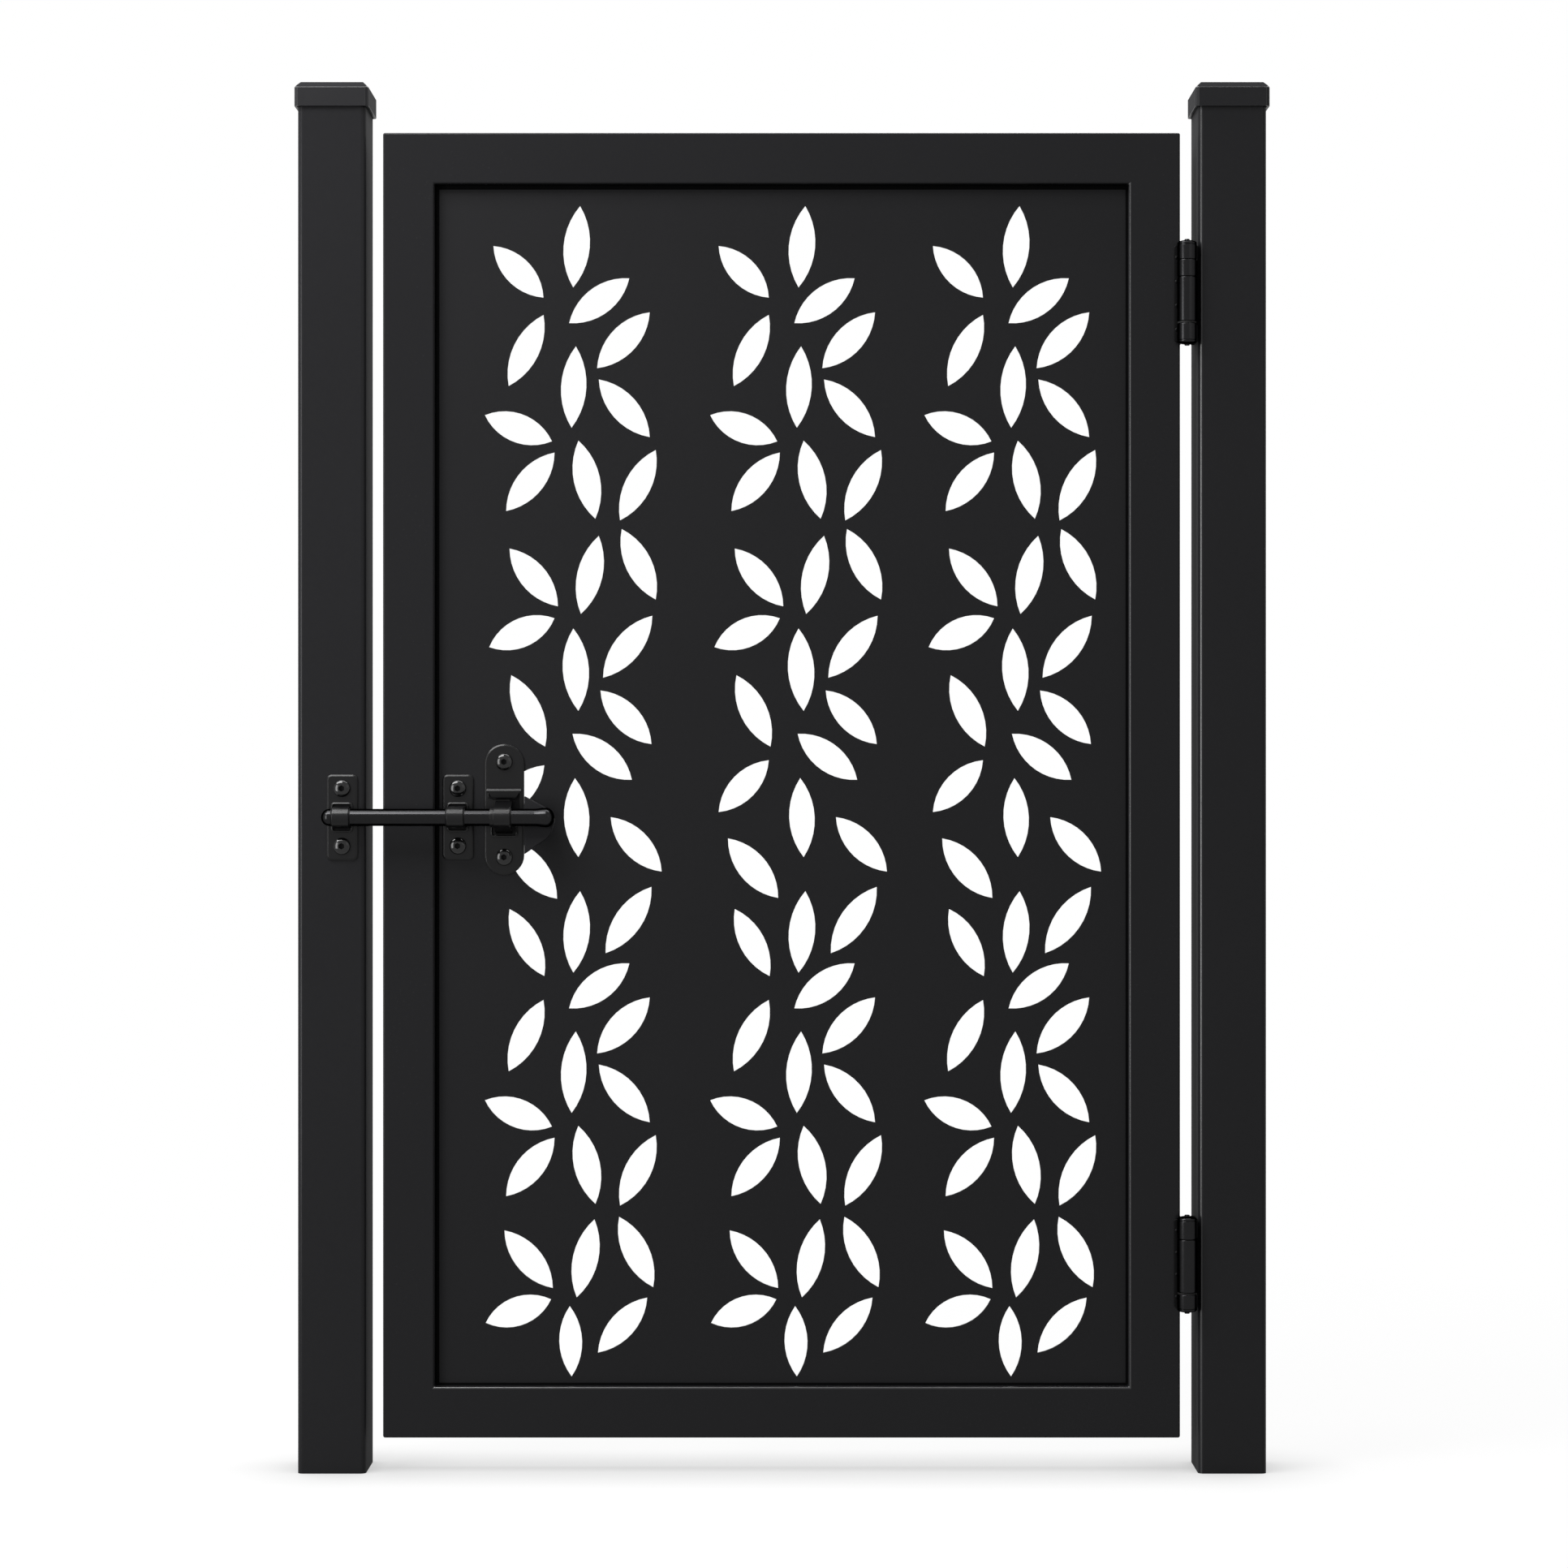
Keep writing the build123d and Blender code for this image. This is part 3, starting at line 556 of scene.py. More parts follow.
def start_round(name, radius, low, high, sides=TURNED_SIDES):
    """A cylinder along the line from low to high, in edit mode, as the start of a piece."""
    bpy.ops.object.select_all(action="DESELECT")
    line = Vector(high) - Vector(low)
    bpy.ops.mesh.primitive_cylinder_add(
        vertices=sides, radius=radius, depth=line.length, location=(Vector(low) + Vector(high)) / 2,
        rotation=line.to_track_quat("Z", "Y").to_euler())
    piece = bpy.context.object
    piece.name = name
    bpy.ops.object.transform_apply(location=True, rotation=True, scale=True)
    bpy.ops.object.mode_set(mode="EDIT")
    return piece


def pick_end(piece, way):
    """Selects the flat faces of a piece that face the given way."""
    pick(piece, "FACE", lambda f: f.normal.dot(Vector(way)) > 0.99)


def start_tube(name, radius, bore, low, high):
    """A round sleeve with a bore, in edit mode."""
    piece = start_round(name, radius, low, high)
    along = (Vector(high) - Vector(low)).normalized()
    pick(piece, "FACE", lambda f: abs(f.normal.dot(along)) > 0.99)
    bpy.ops.mesh.inset(thickness=radius - bore, use_individual=True)
    bpy.ops.mesh.delete(type="ONLY_FACE")
    pick(piece, "EDGE", lambda e: e.is_boundary)
    bpy.ops.mesh.bridge_edge_loops()
    return piece


def dome(way, radius, rise, flat, rings=DOME_RINGS):
    """Raises the selected round face into a dome, ring by ring, up to a flat of that radius."""
    last = math.acos(flat / radius)
    ring = radius
    height = 0.0
    for step in range(1, rings + 1):
        angle = last * step / rings
        bpy.ops.mesh.inset(thickness=ring - radius * math.cos(angle))
        bpy.ops.transform.translate(value=Vector(way) * (rise * math.sin(angle) - height))
        ring = radius * math.cos(angle)
        height = rise * math.sin(angle)


def weld(name, pieces):
    """Joins finished shapes into one piece."""
    bpy.ops.object.select_all(action="DESELECT")
    for piece in pieces:
        piece.select_set(True)
    bpy.context.view_layer.objects.active = pieces[0]
    bpy.ops.object.join()
    whole = bpy.context.object
    whole.name = name
    return whole


def on_axis(z):
    """The point of the hinge axis at a height."""
    return (swing_axis.x, swing_axis.y, z)


def hinge_rows(top, rows):
    """Lowest and highest point of each row of a hinge, from the top down."""
    places = []
    for kind, height in rows:
        gap = ROW_GAP if kind == "gate" else 0
        places.append((kind, top - gap - height, top - gap))
        top -= height + 2 * gap
    return places


def hinge_plate(rows, kind, face_x, side, plate_y, back_y):
    """One hinge plate with its arms and knuckles, for the post or for the gate leaf."""
    low_z = rows[-1][1]
    high_z = rows[0][2]
    sides = sorted((face_x, face_x + side * HINGE_PLATE))
    shapes = [start_box("plate", (sides[0], plate_y, low_z), (sides[1], back_y, high_z))]
    finish_shape(shapes[0], HINGE_PLATE_EDGE)
    sides = sorted((face_x, face_x + side * HINGE_ARM))
    for row, z0, z1 in rows:
        if row != kind:
            continue
        arm_front = swing_axis.y + PIN_RADIUS + KNUCKLE_EDGE
        arm = start_box("arm", (sides[0], arm_front, z0), (sides[1], plate_y + HINGE_PLATE, z1))
        finish_shape(arm, HINGE_ARM_EDGE)
        knuckle = start_tube("knuckle", barrel, KNUCKLE_BORE, on_axis(z0), on_axis(z1))
        finish_shape(knuckle, KNUCKLE_EDGE)
        shapes += [arm, knuckle]
    return weld("hinge_" + kind, shapes)


turned_steel = coated(
    "turned_steel", (0.0140, 0.0140, 0.0146), (0.0190, 0.0190, 0.0197),
    smooth=0.18, rough=0.22, peel_scale=1600, peel_depth=0.000004, gloss_level=0.28, bare=1.0)
swing_axis = Vector(next(j for j in frame["joints"] if j["name"] == "gate_swing")["pos_m"])
barrel = swing_axis.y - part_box("upper_hinge_post_leaf")[0].y
for level in ("upper", "lower"):
    low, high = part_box(level + "_hinge_post_leaf")
    rows = hinge_rows(high.z, HINGE_ROWS[level])
    plate_y = swing_axis.y + PLATE_FRONT
    post_side = hinge_plate(rows, "post", high.x, -1, plate_y, high.y)
    post_side.name = level + "_post_hinge"
    fit(post_side, turned_steel, "posts", "hardware", level + "_hinge_post_leaf")
    gate_side = hinge_plate(rows, "gate", leaf_high.x, 1, plate_y, high.y)
    gate_side.name = level + "_gate_hinge"
    fit(gate_side, turned_steel, "gate_leaf", "hardware", level + "_hinge_gate_leaf")

# Hinge pins: turned pins with a low domed head and a nub, riveted below into a domed nut. The upper one
# also carries a spacer, and each gate knuckle turns on a black plastic washer.
PIN_HEAD = 0.005
NUT_HEIGHT = 0.0045
NUT_GRIP = 0.003
NUB_RADIUS = 0.003
NUB_HEIGHT = 0.0014
RIM_SHARE = 0.3
DOME_SHARE = 0.7
PIN_EDGE = 0.0004
WASHER_EDGE = 0.0003

bearing_plastic = coated(
    "bearing_plastic", (0.006, 0.006, 0.006), (0.010, 0.010, 0.010),
    smooth=0.5, rough=0.62, peel_scale=1800, peel_depth=0.00003, gloss_level=0.15)
up = (0, 0, 1)
down = (0, 0, -1)
for level in ("upper", "lower"):
    low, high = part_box(level + "_hinge_post_leaf")
    pin = start_round(level + "_pin", barrel, on_axis(high.z), on_axis(high.z + RIM_SHARE * PIN_HEAD))
    pick_end(pin, down)
    bpy.ops.mesh.inset(thickness=barrel - PIN_RADIUS)
    shaft = high.z - low.z + NUT_GRIP
    draw_out((0, 0, -shaft))
    pick(pin, "FACE", lambda f: f.normal.z > 0.99 and f.calc_center_median().z > high.z)
    dome(up, barrel, DOME_SHARE * PIN_HEAD, NUB_RADIUS)
    draw_out((0, 0, NUB_HEIGHT))
    finish_shape(pin, PIN_EDGE, segments=2)
    fit(pin, turned_steel, "posts", "hardware", level + "_hinge_pin")

    nut = start_round(level + "_nut", barrel, on_axis(low.z - RIM_SHARE * NUT_HEIGHT), on_axis(low.z))
    pick_end(nut, down)
    dome(down, barrel, DOME_SHARE * NUT_HEIGHT, NUB_RADIUS)
    draw_out((0, 0, -NUB_HEIGHT))
    finish_shape(nut, PIN_EDGE, segments=2)
    fit(nut, turned_steel, "posts", "hardware", level + "_hinge_pin_nut")

    for kind, z0, z1 in hinge_rows(high.z, HINGE_ROWS[level]):
        if kind == "spacer":
            ring = start_tube(level + "_spacer", barrel, PIN_RADIUS, on_axis(z0), on_axis(z1))
            finish_shape(ring, KNUCKLE_EDGE)
            fit(ring, turned_steel, "posts", "hardware", level + "_hinge_spacer")
        if kind == "washer":
            edge_low, edge_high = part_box(level + "_hinge_washer")
            radius = (edge_high.x - edge_low.x) / 2
            ring = start_tube(level + "_washer_ring", radius, PIN_RADIUS, on_axis(z0), on_axis(z1))
            finish_shape(ring, WASHER_EDGE, segments=2)
            fit(ring, bearing_plastic, "posts", "washer", level + "_hinge_washer")

# Edge strips: a narrow near-black strip on the front of the hinge stile beside each barrel, with small round
# rivets, standing in for the shade in the gap beside the barrel: painted shade.
STRIP_LEFT = 0.0075
STRIP_RIGHT = 0.0015
STRIP_PROUD = 0.0018
STRIP_CORNER = 0.0025
STRIP_CORNER_STEPS = 4
STRIP_EDGE = 0.0006
RIVETS = 4
RIVET_RADIUS = 0.0019
RIVET_SIDES = 16
RIVET_SUNK = 0.0005
RIVET_RIM = 0.0003
RIVET_RISE = 0.0014
RIVET_FLAT = 0.0003
RIVET_RINGS = 4

# Painted shade: a near-black coat for the hinge edge strips, the screw-socket floors, the rings at the band
# ends and the floors inside the raised rims, where shade falls.
painted_shade_black = coated(
    "painted_shade_black", (0.0016, 0.0016, 0.0018), (0.0034, 0.0034, 0.0036),
    smooth=0.4, rough=0.5, peel_scale=1600, peel_depth=0.00004, gloss_level=0.08)
leaf_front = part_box("frame_hinge_stile")[0].y
strip_front = leaf_front - STRIP_PROUD
strip_low_x = leaf_high.x - STRIP_LEFT
strip_high_x = leaf_high.x - STRIP_RIGHT
forward = (0, -1, 0)
for level in ("upper", "lower"):
    low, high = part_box(level + "_hinge_gate_leaf")
    strip = start_box("strip", (strip_low_x, strip_front, low.z), (strip_high_x, leaf_front, high.z))
    pick(strip, "EDGE", lambda e: runs(e, 1))
    bpy.ops.mesh.bevel(offset=STRIP_CORNER, segments=STRIP_CORNER_STEPS, affect="EDGES")
    finish_shape(strip, STRIP_EDGE)
    shapes = [strip]
    pitch = (high.z - low.z) / RIVETS
    x = (strip_low_x + strip_high_x) / 2
    for count in range(RIVETS):
        z = low.z + (count + 0.5) * pitch
        root = (x, strip_front + RIVET_SUNK, z)
        rim = (x, strip_front - RIVET_RIM, z)
        rivet = start_round("rivet", RIVET_RADIUS, root, rim, RIVET_SIDES)
        pick_end(rivet, forward)
        dome(forward, RIVET_RADIUS, RIVET_RISE, RIVET_FLAT, RIVET_RINGS)
        finish_shape(rivet)
        shapes.append(rivet)
    strip = weld(level + "_edge_strip", shapes)
    # Painted shade: the strip gets the near-black shade coat.
    fit(strip, painted_shade_black, "gate_leaf", "hardware")

# Screws: button-head socket screws in blackened steel. The small ones hold the hinge plates, the large
# ones the bolt straps. One of each is modelled, copied and turned into place.
HINGE_SCREW = {"head": 0.0105, "height": 0.0033, "shank": 0.006, "socket": 0.004, "grip": 0.010}
LATCH_SCREW = {"head": 0.020, "height": 0.006, "shank": 0.008, "socket": 0.0064}
HINGE_SCREW_STEPS = (-0.36, 0, 0.36)
HINGE_SCREW_BACK = 0.55
SCREW_SIDES = 36
SCREW_RIM = 0.24
SCREW_DOME = 0.76
SOCKET_MOUTH = 0.63
SOCKET_CORNER = 0.577
SOCKET_CUTS = 5
SOCKET_DEPTH = 0.7

screw_steel = coated(
    "screw_steel", (0.0010, 0.0010, 0.0011), (0.0020, 0.0020, 0.0022),
    smooth=0.11, rough=0.16, peel_scale=1600, peel_depth=0.00001, gloss_level=0.38)


def start_screw(name, head, height, shank, socket, grip):
    """A button-head screw, head up, with its seat at the origin and a hexagon socket whose floor is painted
    shade.
    """
    screw = start_round(name, head / 2, (0, 0, 0), (0, 0, SCREW_RIM * height), SCREW_SIDES)
    pick_end(screw, down)
    bpy.ops.mesh.inset(thickness=(head - shank) / 2)
    draw_out((0, 0, -grip))
    pick(screw, "FACE", lambda f: f.normal.z > 0.99 and f.calc_center_median().z > 0)
    dome(up, head / 2, SCREW_DOME * height, SOCKET_MOUTH * socket)
    mouth = max(v.co.z for v in bmesh.from_edit_mesh(screw.data).verts)
    bpy.ops.mesh.delete(type="ONLY_FACE")
    bpy.ops.mesh.primitive_circle_add(vertices=6, radius=SOCKET_CORNER * socket, location=(0, 0, mouth))
    bpy.ops.mesh.subdivide(number_cuts=SOCKET_CUTS)
    pick(screw, "EDGE", lambda e: e.is_boundary or e.is_wire)
    bpy.ops.mesh.bridge_edge_loops()
    pick(screw, "EDGE", lambda e: e.is_boundary)
    draw_out((0, 0, -SOCKET_DEPTH * height))
    bpy.ops.mesh.edge_face_add()
    # Painted shade: the socket floor gets the near-black shade coat.
    two_tone(screw, screw_steel, painted_shade_black)
    pick(screw, "FACE", lambda f: True)
    bpy.ops.mesh.normals_make_consistent(inside=False)
    finish_shape(screw)
    return screw


def place_copy(pattern, at, turn):
    """A copy of a piece with its own mesh, turned and moved into place."""
    bpy.ops.object.select_all(action="DESELECT")
    copy = pattern.copy()
    copy.data = pattern.data.copy()
    bpy.context.scene.collection.objects.link(copy)
    copy.location = at
    copy.rotation_euler = [math.radians(angle) for angle in turn]
    copy.select_set(True)
    bpy.context.view_layer.objects.active = copy
    bpy.ops.object.transform_apply(location=True, rotation=True, scale=True)
    return copy


def clear_away(pattern):
    """Removes the piece that the copies were made from."""
    bpy.data.objects.remove(pattern)


pattern = start_screw("hinge_screw", **HINGE_SCREW)
for level in ("upper", "lower"):
    low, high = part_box(level + "_hinge_post_leaf")
    plate_y = swing_axis.y + PLATE_FRONT
    y = plate_y + HINGE_SCREW_BACK * (high.y - plate_y)
    heights = [(low.z + high.z) / 2 + step * (high.z - low.z) for step in HINGE_SCREW_STEPS]
    for kind, body, x, turn in (
        ("post", "posts", high.x - HINGE_PLATE, -90),
        ("gate", "gate_leaf", leaf_high.x + HINGE_PLATE, 90),
    ):
        copies = [place_copy(pattern, (x, y, z), (0, turn, 0)) for z in heights]
        screws = weld(f"{level}_{kind}_screw_set", copies)
        fit(screws, None, body, "hardware", f"{level}_hinge_{kind}_screws")
clear_away(pattern)

# Keeper and guide: pressed steel plates with rounded corners, on the post and on the panel, each with a
# band bent up over the bolt out of a raised rim whose floor is near-black, painted shade. The bolt slides
# through both, and a near-black ring at each end of each band stands in for the shade there: painted shade.
PLATE = 0.003
PLATE_CORNER = 0.006
PLATE_CORNER_STEPS = 8
PLATE_EDGE = 0.0004
RIM_WIDTH = 0.0020
RIM_DROP = 0.0013
STRAP = 0.002
STRAP_WIDTH = 0.020
STRAP_BORE = 0.01005
STRAP_EDGE = 0.0017
STRAP_EDGE_STEPS = 5
STRAP_EDGE_ANGLE = 55
STRAP_SIDES = 64
SHADE_RING_RADIUS = 0.0107
SHADE_RING_PROUD = 0.0013
FOOT_WIDTH = 0.0262
FOOT_HEIGHT = 0.0352
FOOT_CORNER = 0.0048
FOOT_RISE = 0.0034
FOOT_SLOPE = 0.0016
FOOT_DROP = 0.00108
FOOT_FLAT = 0.0006
FOOT_WALL = 0.0002
FOOT_SINK = 0.85
FOOT_EDGE = 0.0003
RIM_EDGE_ANGLE = 32
CRISP = 20

satin_steel = coated(
    "satin_steel", (0.0014, 0.0014, 0.0016), (0.0028, 0.0028, 0.0031),
    smooth=0.27, rough=0.33, peel_scale=1600, peel_depth=0.00001, gloss_level=0.20)
rod_low, rod_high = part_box("bolt_rod")
rod_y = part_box("keeper")[0].y + STRAP + STRAP_BORE
rod_z = (rod_low.z + rod_high.z) / 2


def start_plate(name, low, high, corner):
    """A flat plate in X and Z with rounded corners, in edit mode."""
    plate = start_box(name, low, high)
    pick(plate, "EDGE", lambda e: runs(e, 1))
    bpy.ops.mesh.bevel(offset=corner, segments=PLATE_CORNER_STEPS, affect="EDGES")
    return plate


def along_rod(x):
    """The point of the bolt's middle line at a place across the gate."""
    return (x, rod_y, rod_z)


def band_end(edge, side):
    """True for the open edge of a band above the rod, for side 1, or below it, for side -1."""
    if not (runs(edge, 0) and edge.is_boundary):
        return False
    return all((v.co.z - rod_z) * side > STRAP_BORE / 2 for v in edge.verts)


def bent_band(name, x, width, depth, root):
    """A band bent round the front of the rod, with two legs that lean out to a plate, and a painted shade
    ring.
    """
    middle = STRAP_BORE + STRAP / 2
    band = start_round(name, middle, along_rod(x - width / 2), along_rod(x + width / 2), STRAP_SIDES)
    turn = middle * math.sin(math.atan2(root - middle, depth))
    pick(band, "FACE", lambda f: abs(f.normal.x) > 0.9 or f.calc_center_median().y > rod_y - turn)
    bpy.ops.mesh.delete(type="FACE")
    for side in (1, -1):
        pick(band, "EDGE", lambda e: band_end(e, side))
        end = next(v.co.copy() for v in bmesh.from_edit_mesh(band.data).verts if v.select)
        draw_out((0, rod_y + depth - end.y, rod_z + side * root - end.z))
    thicken(band, STRAP, offset=0)
    finish_shape(band, STRAP_EDGE, STRAP_EDGE_STEPS, STRAP_EDGE_ANGLE)
    band.data.materials.append(satin_steel)
    # Painted shade: a near-black ring shows at each end of the band where shade falls between band and rod.
    reach = width / 2 + SHADE_RING_PROUD
    shade_ring = start_tube("shade_ring", SHADE_RING_RADIUS, STRAP_BORE, along_rod(x - reach), along_rod(x + reach))
    finish_shape(shade_ring)
    shade_ring.data.materials.append(painted_shade_black)
    return weld(name, [band, shade_ring])


def rimmed_plate(name, low, high, corner):
    """A plate whose front slopes back a little all round its edge."""
    plate = start_plate(name, (low[0], low[1] + RIM_DROP, low[2]), high, corner)
    pick_end(plate, forward)
    bpy.ops.mesh.inset(thickness=RIM_WIDTH)
    bpy.ops.transform.translate(value=(0, -RIM_DROP, 0))
    finish_shape(plate, PLATE_EDGE, segments=2, angle=RIM_EDGE_ANGLE, smooth=CRISP)
    plate.data.materials.append(satin_steel)
    return plate


def raised_rim(name, low, high, front, rise):
    """The pressed-up rim of the opening that a band comes out of, its floor near-black as painted shade."""
    near = front - rise + FOOT_DROP
    inside = front + PLATE / 2
    rim = start_plate(name, (low[0], near, low[1]), (high[0], inside, high[1]), FOOT_CORNER)
    pick_end(rim, forward)
    bpy.ops.mesh.inset(thickness=FOOT_SLOPE)
    bpy.ops.transform.translate(value=(0, -FOOT_DROP, 0))
    bpy.ops.mesh.inset(thickness=FOOT_FLAT)
    bpy.ops.mesh.inset(thickness=FOOT_WALL)
    bpy.ops.transform.translate(value=(0, FOOT_SINK * rise, 0))
    # Painted shade: the floor inside the rim gets the near-black shade coat.
    two_tone(rim, satin_steel, painted_shade_black)
    finish_shape(rim, FOOT_EDGE, segments=2, angle=RIM_EDGE_ANGLE, smooth=CRISP)
    return rim


for node, body in (("keeper", "posts"), ("guide", "gate_leaf")):
    low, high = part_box(node)
    x = (low.x + high.x) / 2
    front = high.y - PLATE
    plate = rimmed_plate("plate", (low.x, front, low.z), high, PLATE_CORNER)
    band = bent_band("band", x, STRAP_WIDTH, front - rod_y, STRAP_BORE + STRAP)
    foot_low = (x - FOOT_WIDTH / 2, rod_z - FOOT_HEIGHT / 2)
    foot_high = (x + FOOT_WIDTH / 2, rod_z + FOOT_HEIGHT / 2)
    rim = raised_rim("rim", foot_low, foot_high, front, FOOT_RISE)
    fit(weld(node + "_strap", [plate, band, rim]), None, body, "hardware", node)

# Lock bracket: a long round-ended steel plate on the panel with a band over the bolt, a wedge above the band
# that widens to a lip, a window below and two shallow pockets beside the wedge whose floors are near-black
# as painted shadow, and a short collar round the bolt. A second plate behind the sheet takes the nuts.
ROUND_END = 0.497
BAND_ROOT = 0.0185
WEDGE_TOP = 0.0335
WEDGE_FOOT = 0.0205
WEDGE_WIDTH = 0.041
WEDGE_TAPER = 0.64
WEDGE_PROUD = 0.0068
WEDGE_THIN = 0.0046
WEDGE_ROUND = 0.0030
WEDGE_ROUND_STEPS = 6
WEDGE_EDGE = 0.0006
WEDGE_EDGE_ANGLE = 40
LIP = 0.0028
LIP_SLOPE = 0.0020
LIP_PROUD = 0.0010
LIP_EDGE = 0.0005
SHADE_WINDOW_DROP = 0.0238
SHADE_WINDOW_WIDTH = 0.033
SHADE_WINDOW_TOP = 0.003015
SHADE_POCKET_NEAR = 0.004
SHADE_POCKET_FAR = 0.0205
SHADE_POCKET_TOP = 0.0315
SHADE_POCKET_LEFT_FOOT = 0.0195
SHADE_POCKET_RISE = 0.0004
COLLAR_RADIUS = 0.01125
COLLAR_LENGTH = 0.004
COLLAR_TUCK = 0.001
COLLAR_EDGE = 0.0004
BACKING_EDGE = 0.0008


def lip_bar(name, x, width, z, front, proud):
    """A bar across the plate with a front that leans back towards the top."""
    bar = start_box(name, (x - width / 2, front - proud, z - LIP), (x + width / 2, front + PLATE / 2, z))
    top = z - HAIR
    pick(bar, "EDGE", lambda e: runs(e, 0) and all(v.co.z > top and v.co.y < front for v in e.verts))
    bpy.ops.transform.translate(value=(0, LIP_SLOPE, 0))
    finish_shape(bar, LIP_EDGE)
    bar.data.materials.append(satin_steel)
    return bar


def wedge_front_foot(edge):
    """True for the lower front edge of the wedge."""
    return runs(edge, 0) and all(v.co.z < wedge_low + HAIR and v.co.y < front for v in edge.verts)


low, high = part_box("lock_bracket")
lock_x = (low.x + high.x) / 2
front = high.y - PLATE
plate = rimmed_plate("plate", (low.x, front, low.z), high, ROUND_END * (high.x - low.x))
band = bent_band("band", lock_x, STRAP_WIDTH, front - rod_y, BAND_ROOT)

wedge_low = rod_z + WEDGE_FOOT
wedge_high = rod_z + WEDGE_TOP - LIP / 2
wedge = start_box("wedge", (lock_x - WEDGE_WIDTH / 2, front - WEDGE_PROUD, wedge_low),
                  (lock_x + WEDGE_WIDTH / 2, front + PLATE / 2, wedge_high))
pick(wedge, "VERT", lambda v: v.co.z < wedge_low + HAIR)
bpy.ops.transform.resize(value=(WEDGE_TAPER, 1, 1), center_override=(lock_x, front, wedge_low))
pick(wedge, "EDGE", wedge_front_foot)
bpy.ops.transform.translate(value=(0, WEDGE_PROUD - WEDGE_THIN, 0))
pick(wedge, "EDGE", wedge_front_foot)
bpy.ops.mesh.bevel(offset=WEDGE_ROUND, segments=WEDGE_ROUND_STEPS, affect="EDGES")
finish_shape(wedge, WEDGE_EDGE, angle=WEDGE_EDGE_ANGLE)
wedge.data.materials.append(satin_steel)
lip = lip_bar("lip", lock_x, WEDGE_WIDTH, rod_z + WEDGE_TOP, front, WEDGE_PROUD + LIP_PROUD)

# Painted shadow: the window below the band and the pockets beside the wedge are near-black inside.
shade_window_low = (lock_x - SHADE_WINDOW_WIDTH / 2, rod_z - SHADE_WINDOW_DROP)
shade_window_high = (lock_x + SHADE_WINDOW_WIDTH / 2, rod_z - SHADE_WINDOW_TOP)
shade_window = raised_rim("shade_window", shade_window_low, shade_window_high, front, LIP)
right_low = (lock_x + SHADE_POCKET_NEAR, rod_z + SHADE_POCKET_NEAR)
right_high = (lock_x + SHADE_POCKET_FAR, rod_z + SHADE_POCKET_TOP)
right_shade_pocket = raised_rim("right_shade_pocket", right_low, right_high, front, SHADE_POCKET_RISE)
left_low = (lock_x - SHADE_POCKET_FAR, rod_z + SHADE_POCKET_LEFT_FOOT)
left_high = (lock_x - SHADE_POCKET_NEAR, rod_z + SHADE_POCKET_TOP)
left_shade_pocket = raised_rim("left_shade_pocket", left_low, left_high, front, SHADE_POCKET_RISE)

band_left = lock_x - STRAP_WIDTH / 2
collar = start_tube("collar", COLLAR_RADIUS, STRAP_BORE,
                    along_rod(band_left - COLLAR_LENGTH), along_rod(band_left + COLLAR_TUCK))
finish_shape(collar, COLLAR_EDGE, segments=2)
collar.data.materials.append(satin_steel)
lock_strap = weld(
    "lock_strap", [plate, band, wedge, lip, shade_window, right_shade_pocket, left_shade_pocket, collar])
fit(lock_strap, None, "gate_leaf", "hardware", "lock_bracket")

low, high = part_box("lock_backing")
backing = start_plate("lock_back_plate", low, high, ROUND_END * (high.x - low.x))
finish_shape(backing, BACKING_EDGE)
fit(backing, satin_steel, "gate_leaf", "hardware", "lock_backing")

# Strap screws and nuts: the large button heads over the straps, with plain hexagon nuts behind the panel
# on the ends of the guide's and the lock bracket's screws.
NUT_FLATS = 0.013
HEX_RATIO = 1.732
NUT_THICK = 0.0065
NUT_CHAMFER = 0.0012
NUT_CROWN = 0.0004
NUT_EDGE = 0.0003


def head_heights(low, high):
    """The heights of the lower and the upper screw of a strap, from the box round both."""
    return (low.z + LATCH_SCREW["head"] / 2, high.z - LATCH_SCREW["head"] / 2)


for plate_node, body in (("keeper", "posts"), ("guide", "gate_leaf"), ("lock_bracket", "gate_leaf")):
    node = plate_node + "_screws"
    low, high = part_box(node)
    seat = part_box(plate_node)[1].y - PLATE
    pattern = start_screw("latch_screw", grip=high.y - seat, **LATCH_SCREW)
    x = (low.x + high.x) / 2
    copies = [place_copy(pattern, (x, seat, z), (90, 0, 0)) for z in head_heights(low, high)]
    clear_away(pattern)
    fit(weld(node + "_set", copies), None, body, "hardware", node)

nut = start_round("nut", NUT_FLATS / HEX_RATIO, (0, 0, 0), (0, 0, NUT_THICK), sides=6)
pick_end(nut, up)
bpy.ops.mesh.inset(thickness=NUT_CHAMFER)
bpy.ops.transform.translate(value=(0, 0, NUT_CROWN))
finish_shape(nut, NUT_EDGE, segments=2)
copies = []
for node in ("guide_screws", "lock_bracket_screws"):
    low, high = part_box(node)
    x = (low.x + high.x) / 2
    for z in head_heights(low, high):
        copies.append(place_copy(nut, (x, high.y - NUT_THICK, z), (-90, 0, 0)))
clear_away(nut)
fit(weld("latch_nut_set", copies), satin_steel, "gate_leaf", "hardware", "latch_nuts")

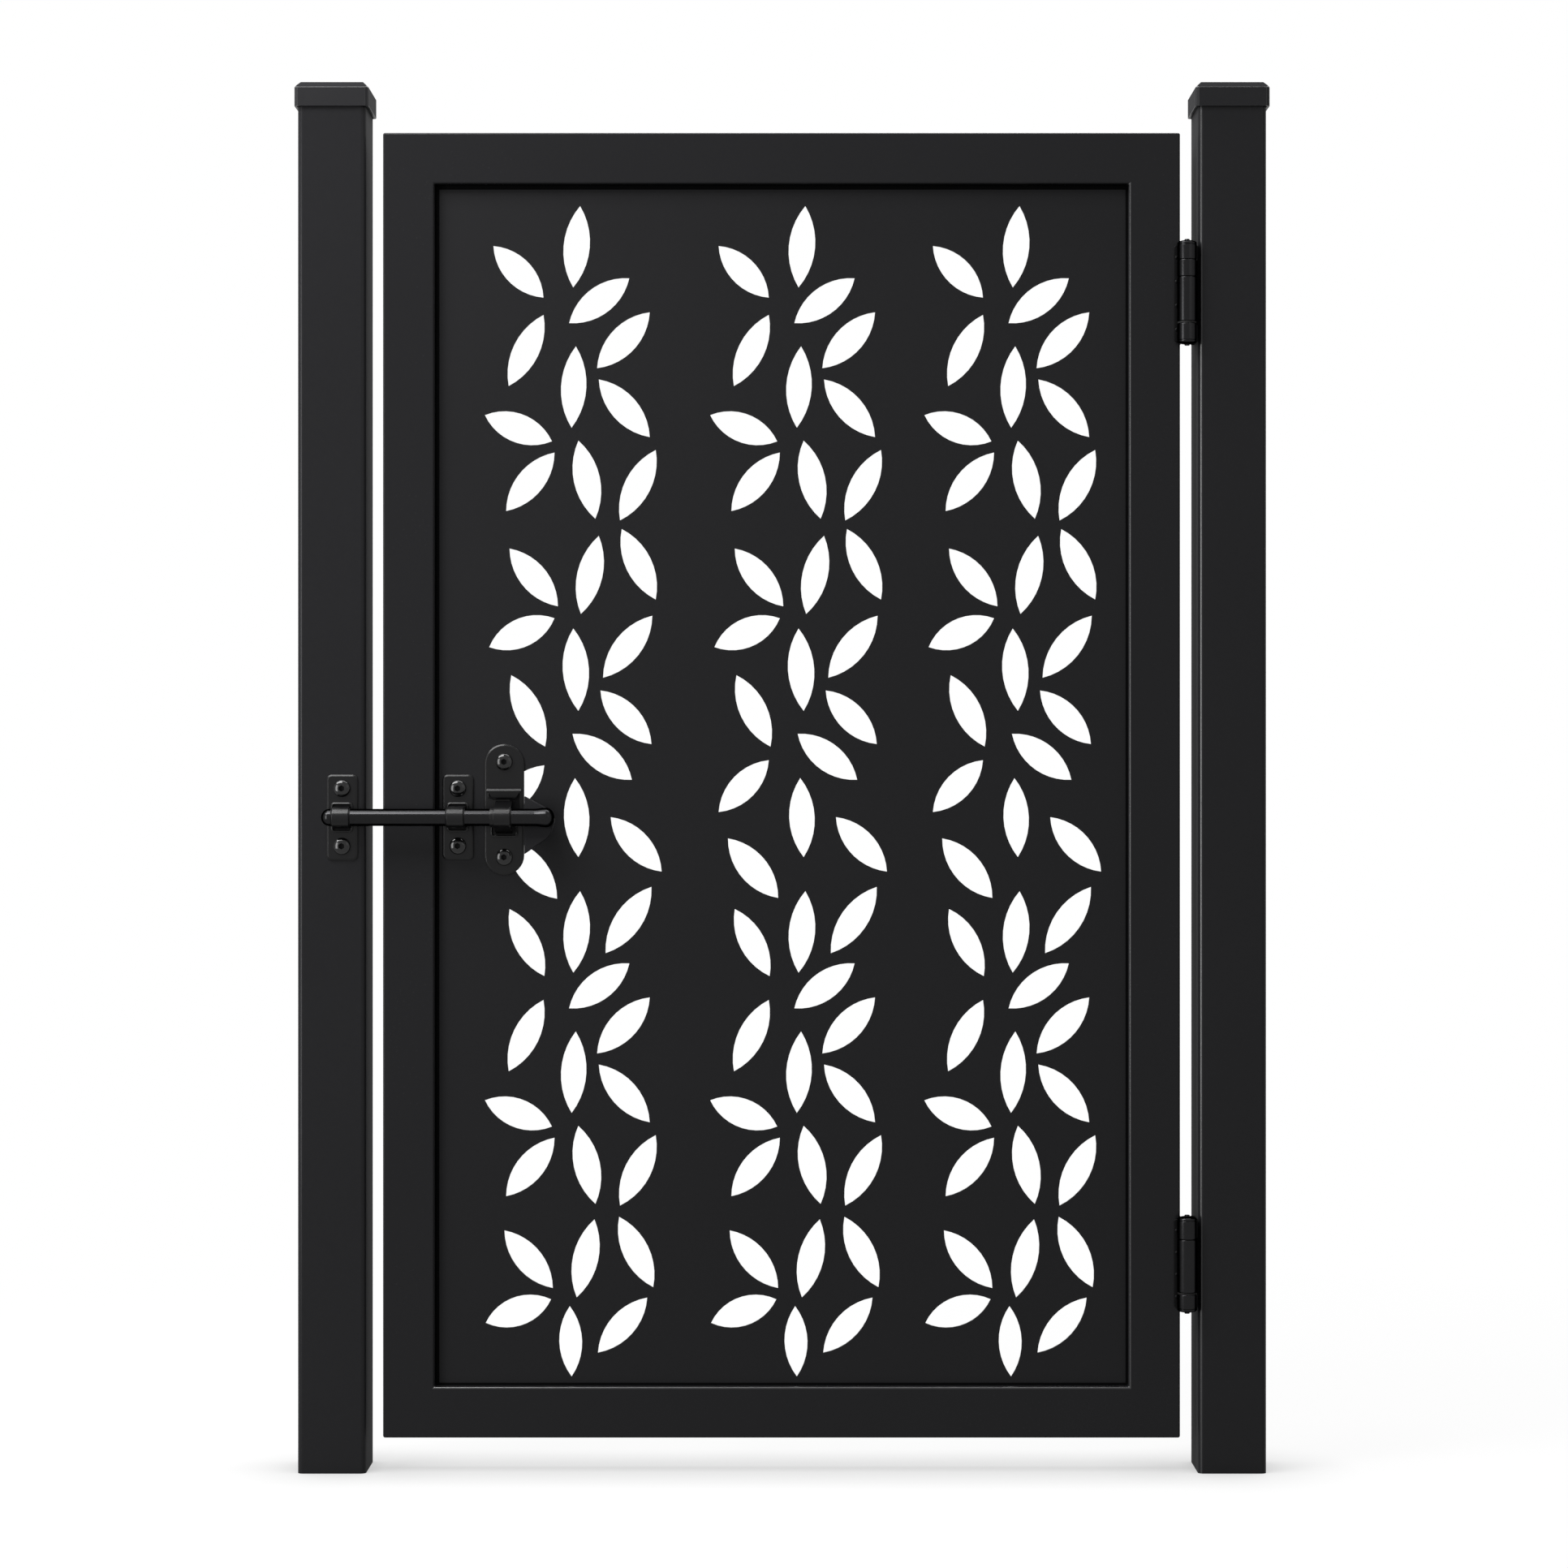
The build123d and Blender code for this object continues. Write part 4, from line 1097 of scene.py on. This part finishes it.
# Bolt: a round bar of blackened bare steel with a domed tip that shoots into the keeper, swollen at the
# other end into a grip, with a flat coated thumb plate behind the grip to push it by.
ROD_RADIUS = 0.010
TIP_RISE = 0.0095
TIP_FLAT = 0.0004
TIP_RINGS = 8
KNOB_RADIUS = 0.0115
KNOB_LENGTH = 0.024
KNOB_STEP = 0.2
KNOB_SWELL = (ROD_RADIUS, 0.0103, 0.0111, KNOB_RADIUS)
KNOB_DOME = 0.4
KNOB_FLAT = 0.0006
NOSE_BACK = 0.006
NOSE_OVER = 0.001
NOSE_DROP = 0.002
NOSE_UPPER = 0.36
NOSE_LOWER = 0.53
THUMB_START = 0.02
THUMB_ROUND = 0.006
THUMB_ROUND_STEPS = 6
THUMB_EDGE = 0.0012

rod = start_round("bolt_bar", ROD_RADIUS, along_rod(rod_low.x + TIP_RISE),
                  along_rod(rod_high.x - KNOB_LENGTH))
pick_end(rod, (-1, 0, 0))
dome((-1, 0, 0), ROD_RADIUS, TIP_RISE, TIP_FLAT, TIP_RINGS)
pick_end(rod, (1, 0, 0))
for before, after in zip(KNOB_SWELL, KNOB_SWELL[1:]):
    draw_out((KNOB_STEP * KNOB_LENGTH, 0, 0))
    grow = after / before
    bpy.ops.transform.resize(value=(1, grow, grow), center_override=along_rod(rod_high.x))
dome((1, 0, 0), KNOB_RADIUS, KNOB_DOME * KNOB_LENGTH, KNOB_FLAT, TIP_RINGS)
finish_shape(rod)
fit(rod, turned_steel, "bolt", "hardware", "bolt_rod")

thumb_coat = coated(
    "thumb_coat", (0.0074, 0.0074, 0.0082), (0.0108, 0.0108, 0.0119),
    smooth=0.55, rough=0.65, peel_scale=900, peel_depth=0.00006, gloss_level=0.10)
low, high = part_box("bolt_thumb_plate")
nose = rod_high.x - NOSE_BACK
corners = (
    (low.x, high.z),
    (nose, rod_z + NOSE_UPPER * (high.z - rod_z)),
    (rod_high.x + NOSE_OVER, rod_z - NOSE_DROP),
    (nose, rod_z - NOSE_LOWER * (rod_z - low.z)),
    (low.x, low.z),
)
thumb = start_round("thumb_tab", THUMB_START, (nose, high.y, rod_z), (nose, low.y, rod_z), len(corners))
for count, (x, z) in enumerate(corners):
    pick(thumb, "VERT", lambda v: v.index // 2 == count)
    now = next(v.co.copy() for v in bmesh.from_edit_mesh(thumb.data).verts if v.select)
    bpy.ops.transform.translate(value=(x - now.x, 0, z - now.z))
pick(thumb, "FACE", lambda f: True)
bpy.ops.mesh.normals_make_consistent(inside=False)
pick(thumb, "EDGE", lambda e: runs(e, 1) and e.verts[0].co.x > low.x + HAIR)
bpy.ops.mesh.bevel(offset=THUMB_ROUND, segments=THUMB_ROUND_STEPS, affect="EDGES")
finish_shape(thumb, THUMB_EDGE)
fit(thumb, thumb_coat, "bolt", "hardware", "bolt_thumb_plate")
